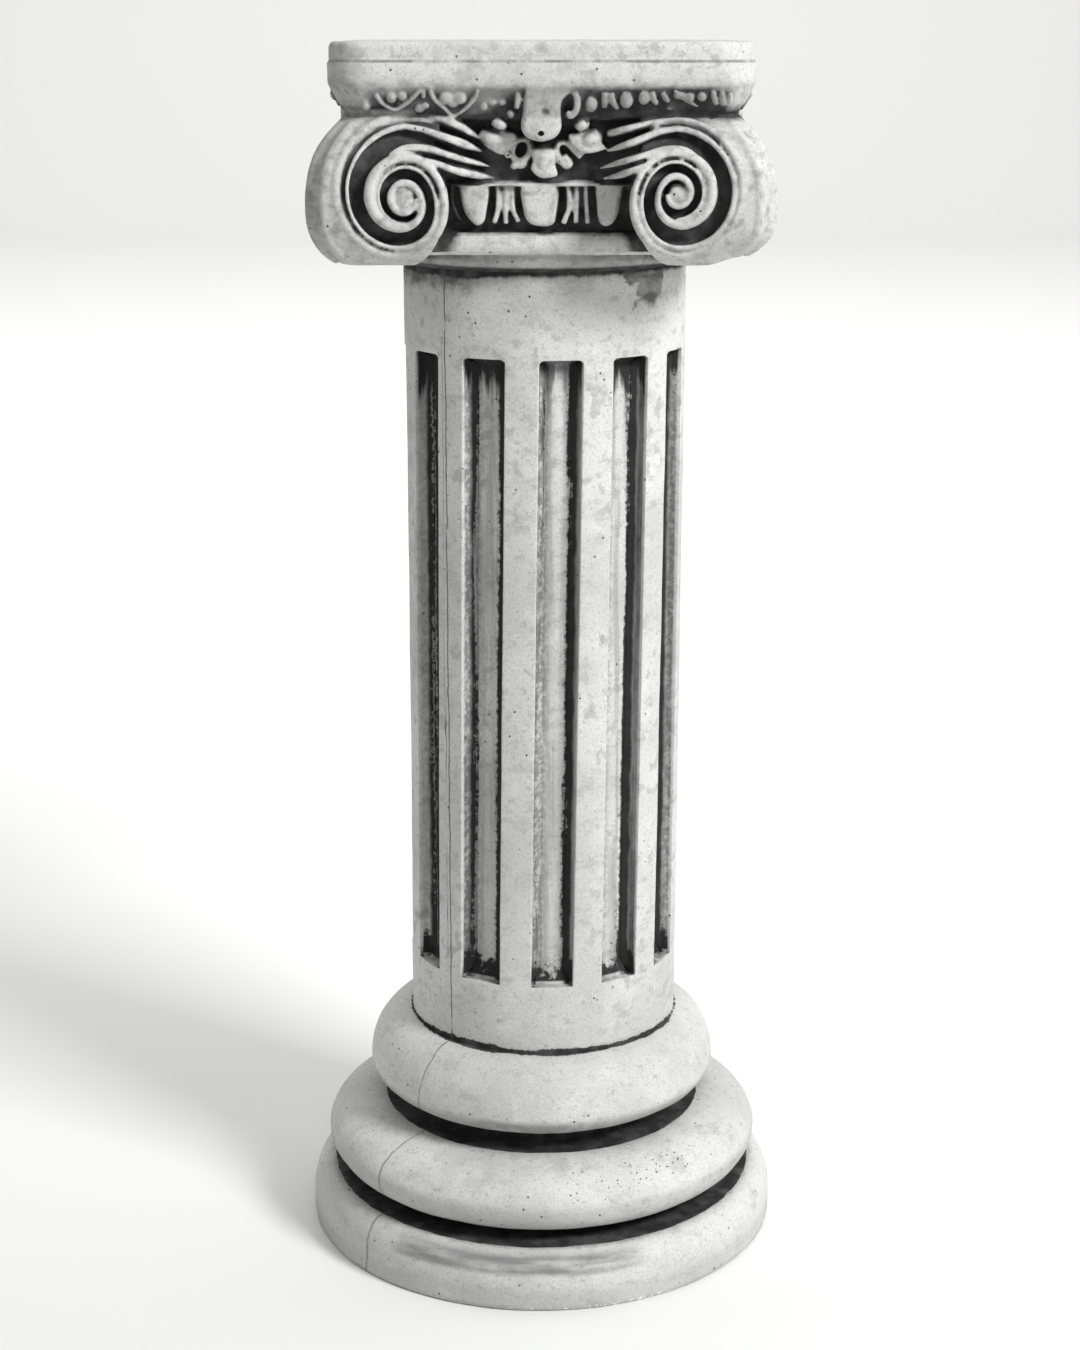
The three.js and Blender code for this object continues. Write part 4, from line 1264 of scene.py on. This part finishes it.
def paint_wash_and_shade(stone):
    """The dark wash, thin where it was rubbed off and black in the depths, together with the painted shade in
    the flutes and under the collar.
    """
    in_flute, dirt_and_shade, streaks_and_head_shadow = flute_wash_and_shade(stone)
    foot_line, near_foot = foot_line_wash(stone)
    shade_below_collar, shade_hanging_below_collar, on_collar = collar_wash_and_shade(stone)
    depth = stone.recess * 0.8 + stone.crease * 1.2 + stone.wash * 0.6
    depth = depth * (1.0 - in_flute * 0.75) * (1.0 - near_foot * 0.7)
    clean_neck = stone.level.band(MOULDING_FOOT, 3.0, 3.0) * (1.0 - stone.across.ramp(-85.0, -60.0))
    # The painted shade in the flutes and under the collar is added to the wash's depth here.
    depth = depth * (1.0 - clean_neck * 0.6) + dirt_and_shade * in_flute * 0.55
    depth = depth + (groove_wash(stone) + foot_line) * 0.7 + shade_below_collar * 0.5
    # The streak tone also lays the painted shadow under the flute heads.
    stone.paint("streak", streaks_and_head_shadow * in_flute + on_collar * (0.25 + stone.patch * 0.5))
    stone.paint("thin wash", (depth + stone.ragged).ramp(0.08, 0.42) * 0.85)
    stone.paint("shade under collar", shade_hanging_below_collar * (0.45 + stone.smear.ramp(0.35, 0.6) * 0.45))
    brush_marks = (stone.patch * 0.6 + stone.blotch * 0.4).ramp(0.42, 0.62)
    black = stone.net.blend(grey(TONES["thick wash"]), grey(TONES["brushed wash"]), brush_marks)
    black = stone.net.blend(black, grey(TONES["flute wash"]), in_flute * 0.8)
    thick = (depth + stone.ragged * 0.6).ramp(0.34, 0.54)
    stone.tone = stone.net.blend(stone.tone, black, thick * 0.96)
    return foot_line


def paint_stains(stone):
    """Stains on the front of the disc and under the upper ring, and painted shade on the undersides of the
    rings and at the foot of the disc.
    """
    stain = stone.spot(*DISC_STAIN) * stone.radius.ramp(*DISC_SIDE_REACH)
    stain = stain * (0.3 + (stone.ribbon + stone.ragged * 0.3).ramp(0.3, 0.68) * 0.7)
    smudge = stone.spot(*RING_SMUDGE) * stone.patch.ramp(0.45, 0.58)
    stone.paint("stain", stain * 0.85 + smudge * 0.5)
    # Painted shade: the undersides of both rings and the foot of the disc are darkened, most under the upper
    # ring.
    lower, upper = [stone.level.band(*ring) for ring in RING_UNDERSIDE_SHADE]
    under = (lower + upper * 1.7) * stone.radius.ramp(*RINGS_REACH) + stone.level.band(*DISC_FOOT_SHADE) * 0.7
    stone.paint("underside shade", under * (0.2 + stone.patch * 0.2))


def paint_holes(stone):
    """Air holes in groups, pin holes at the right of the lower ring, and white flakes at the foot."""
    holes = stone.dots(AIR_HOLES, 0.06, 0.1) * stone.hole_groups.ramp(0.47, 0.56)
    pinned = stone.spot(*PINNED_RING) * stone.patch.ramp(0.42, 0.5)
    holes = holes.larger(stone.dots(PIN_HOLES, 0.12, 0.2) * pinned)
    stone.paint("hole", holes * 0.9)
    at_foot = (1.0 - stone.level.ramp(2.0, 4.0)) * stone.turn.band(0.25, 0.28, 0.15)
    stone.paint("flake", at_foot * stone.speck.ramp(0.55, 0.6))
    return holes


def paint_seam(stone):
    """The mould seam, which drifts aside on the rings, and a hairline crack beside it."""
    drift = (1.0 - stone.level.ramp(60.0, 160.0)) * 0.085
    turn = stone.turn + sway(stone.wobble, 0.035) + drift
    seam = turn.band(*SEAM_LINE) * stone.patch.ramp(0.3, 0.42)
    seam = seam * (1.0 - stone.level.ramp(SEAM_TOP, SEAM_TOP + 5.0))
    crack = (turn + sway(stone.streak, 0.06)).band(*CRACK_LINE) * stone.cloud.ramp(0.45, 0.55)
    crack = crack * stone.level.ramp(200.0, 220.0) * (1.0 - stone.level.ramp(600.0, 640.0))
    seam = seam.larger(crack)
    on_shaft = stone.level.ramp(BASE_HEIGHT - 4.0, BASE_HEIGHT)
    stone.paint("seam", seam * (0.5 + on_shaft * 0.35))
    return seam


def paint_abacus_lines(stone):
    """The line at the step of the abacus, and the grey along its foot, which is partly dirt and partly
    painted shade under its edge.
    """
    step_line = stone.level.band(ABACUS_STEP, 0.5, 0.7)
    stone.paint("step line", step_line * (0.2 + stone.patch.ramp(0.35, 0.6) * 0.5))
    # Partly dirt, partly painted shade: grey along the lower edge of the abacus.
    foot = (stone.level + sway(stone.patch, 12.0)).band(ABACUS_FOOT + 1.0, 1.5, 4.0)
    stone.paint("abacus foot dirt and shade", foot * (0.12 + stone.patch.ramp(0.45, 0.65) * 0.4))


def make_cast_stone():
    material = bpy.data.materials.new("cast_stone")
    material.use_nodes = True
    net = Net(material)
    stone = Stone(net)
    paint_body(stone)
    paint_weather(stone)
    foot_line = paint_wash_and_shade(stone)
    paint_stains(stone)
    holes = paint_holes(stone)
    seam = paint_seam(stone)
    paint_abacus_lines(stone)
    net.tree.links.new(stone.tone.socket, net.surface.inputs["Base Color"])
    net.surface.inputs["Roughness"].default_value = 0.82
    net.surface.inputs["Specular IOR Level"].default_value = 0.35
    height = stone.grain * 0.35 + stone.speck * 0.35 + stone.patch * 0.5
    height = height - holes * 1.6 - seam * 0.8 - foot_line * 0.8
    bump = net.node("ShaderNodeBump", {}, {"Strength": 0.55, "Distance": 0.0007, "Height": height})
    net.tree.links.new(bump.socket, net.surface.inputs["Normal"])
    return material


# Scene

def make_floor():
    bpy.ops.object.select_all(action="DESELECT")
    bpy.ops.mesh.primitive_plane_add(size=FLOOR_SIZE, location=FLOOR_MIDDLE)
    floor = added("floor")
    settle(floor)
    edit(floor, "EDGE")
    bpy.ops.mesh.select_all(action="DESELECT")
    leave()
    back = FLOOR_MIDDLE[1] + FLOOR_SIZE / 2 - 1.0
    for line in floor.data.edges:
        line.select = all(floor.data.vertices[index].co.y > back for index in line.vertices)
    bpy.ops.object.mode_set(mode="EDIT")
    bpy.ops.mesh.extrude_region_move(TRANSFORM_OT_translate={"value": BACKDROP_RISE})
    leave()
    apply(floor, "BEVEL", width=BACKDROP_BEND, segments=24)
    for face in floor.data.polygons:
        face.use_smooth = True
    material = bpy.data.materials.new("floor_white")
    material.use_nodes = True
    surface = material.node_tree.nodes["Principled BSDF"]
    surface.inputs["Base Color"].default_value = grey(0.78)
    surface.inputs["Roughness"].default_value = 0.9
    floor.data.materials.append(material)


def add_light(name, location, target, size, energy):
    light = bpy.data.lights.new(name, "AREA")
    light.size = size
    light.energy = energy
    lamp = bpy.data.objects.new(name, light)
    bpy.context.collection.objects.link(lamp)
    lamp.location = location
    lamp.rotation_euler = (Vector(target) - Vector(location)).to_track_quat("-Z", "Y").to_euler()


def make_lights():
    world = bpy.data.worlds.new("studio")
    world.use_nodes = True
    world.node_tree.nodes["Background"].inputs["Color"].default_value = grey(1.0)
    world.node_tree.nodes["Background"].inputs["Strength"].default_value = WORLD_STRENGTH
    bpy.context.scene.world = world
    for name, (location, target, size, energy) in LIGHTS.items():
        add_light(name, location, target, size, energy)


def make_camera():
    camera = bpy.data.cameras.new("camera")
    camera.sensor_width = 36.0
    camera.lens = FOCAL_PIXELS * camera.sensor_width / FRAME_HEIGHT
    camera.shift_x = (FRAME_WIDTH / 2 - CENTRE_COLUMN) / FRAME_HEIGHT
    viewer = bpy.data.objects.new("camera", camera)
    bpy.context.collection.objects.link(viewer)
    viewer.location = (0.0, -CAMERA_BACK, CAMERA_UP)
    viewer.rotation_euler = (math.radians(90.0 - CAMERA_PITCH), 0.0, 0.0)
    bpy.context.scene.camera = viewer


base = make_base()
shaft = make_shaft()
capital = make_capital()
roughen(base, *BASE_UNEVEN)
flatten_underside(base)
roughen(shaft, *SHAFT_UNEVEN)
roughen(capital, *CAPITAL_UNEVEN)
thin(capital)
pieces = [capital, shaft, base]
mark_recesses(pieces)
stone = make_cast_stone()
for piece in pieces:
    piece.data.materials.clear()
    piece.data.materials.append(stone)
    for face in piece.data.polygons:
        face.use_smooth = True
    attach(piece, "root")
    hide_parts(NODE)

make_floor()
make_lights()
make_camera()
bpy.context.scene.view_settings.view_transform = "Standard"
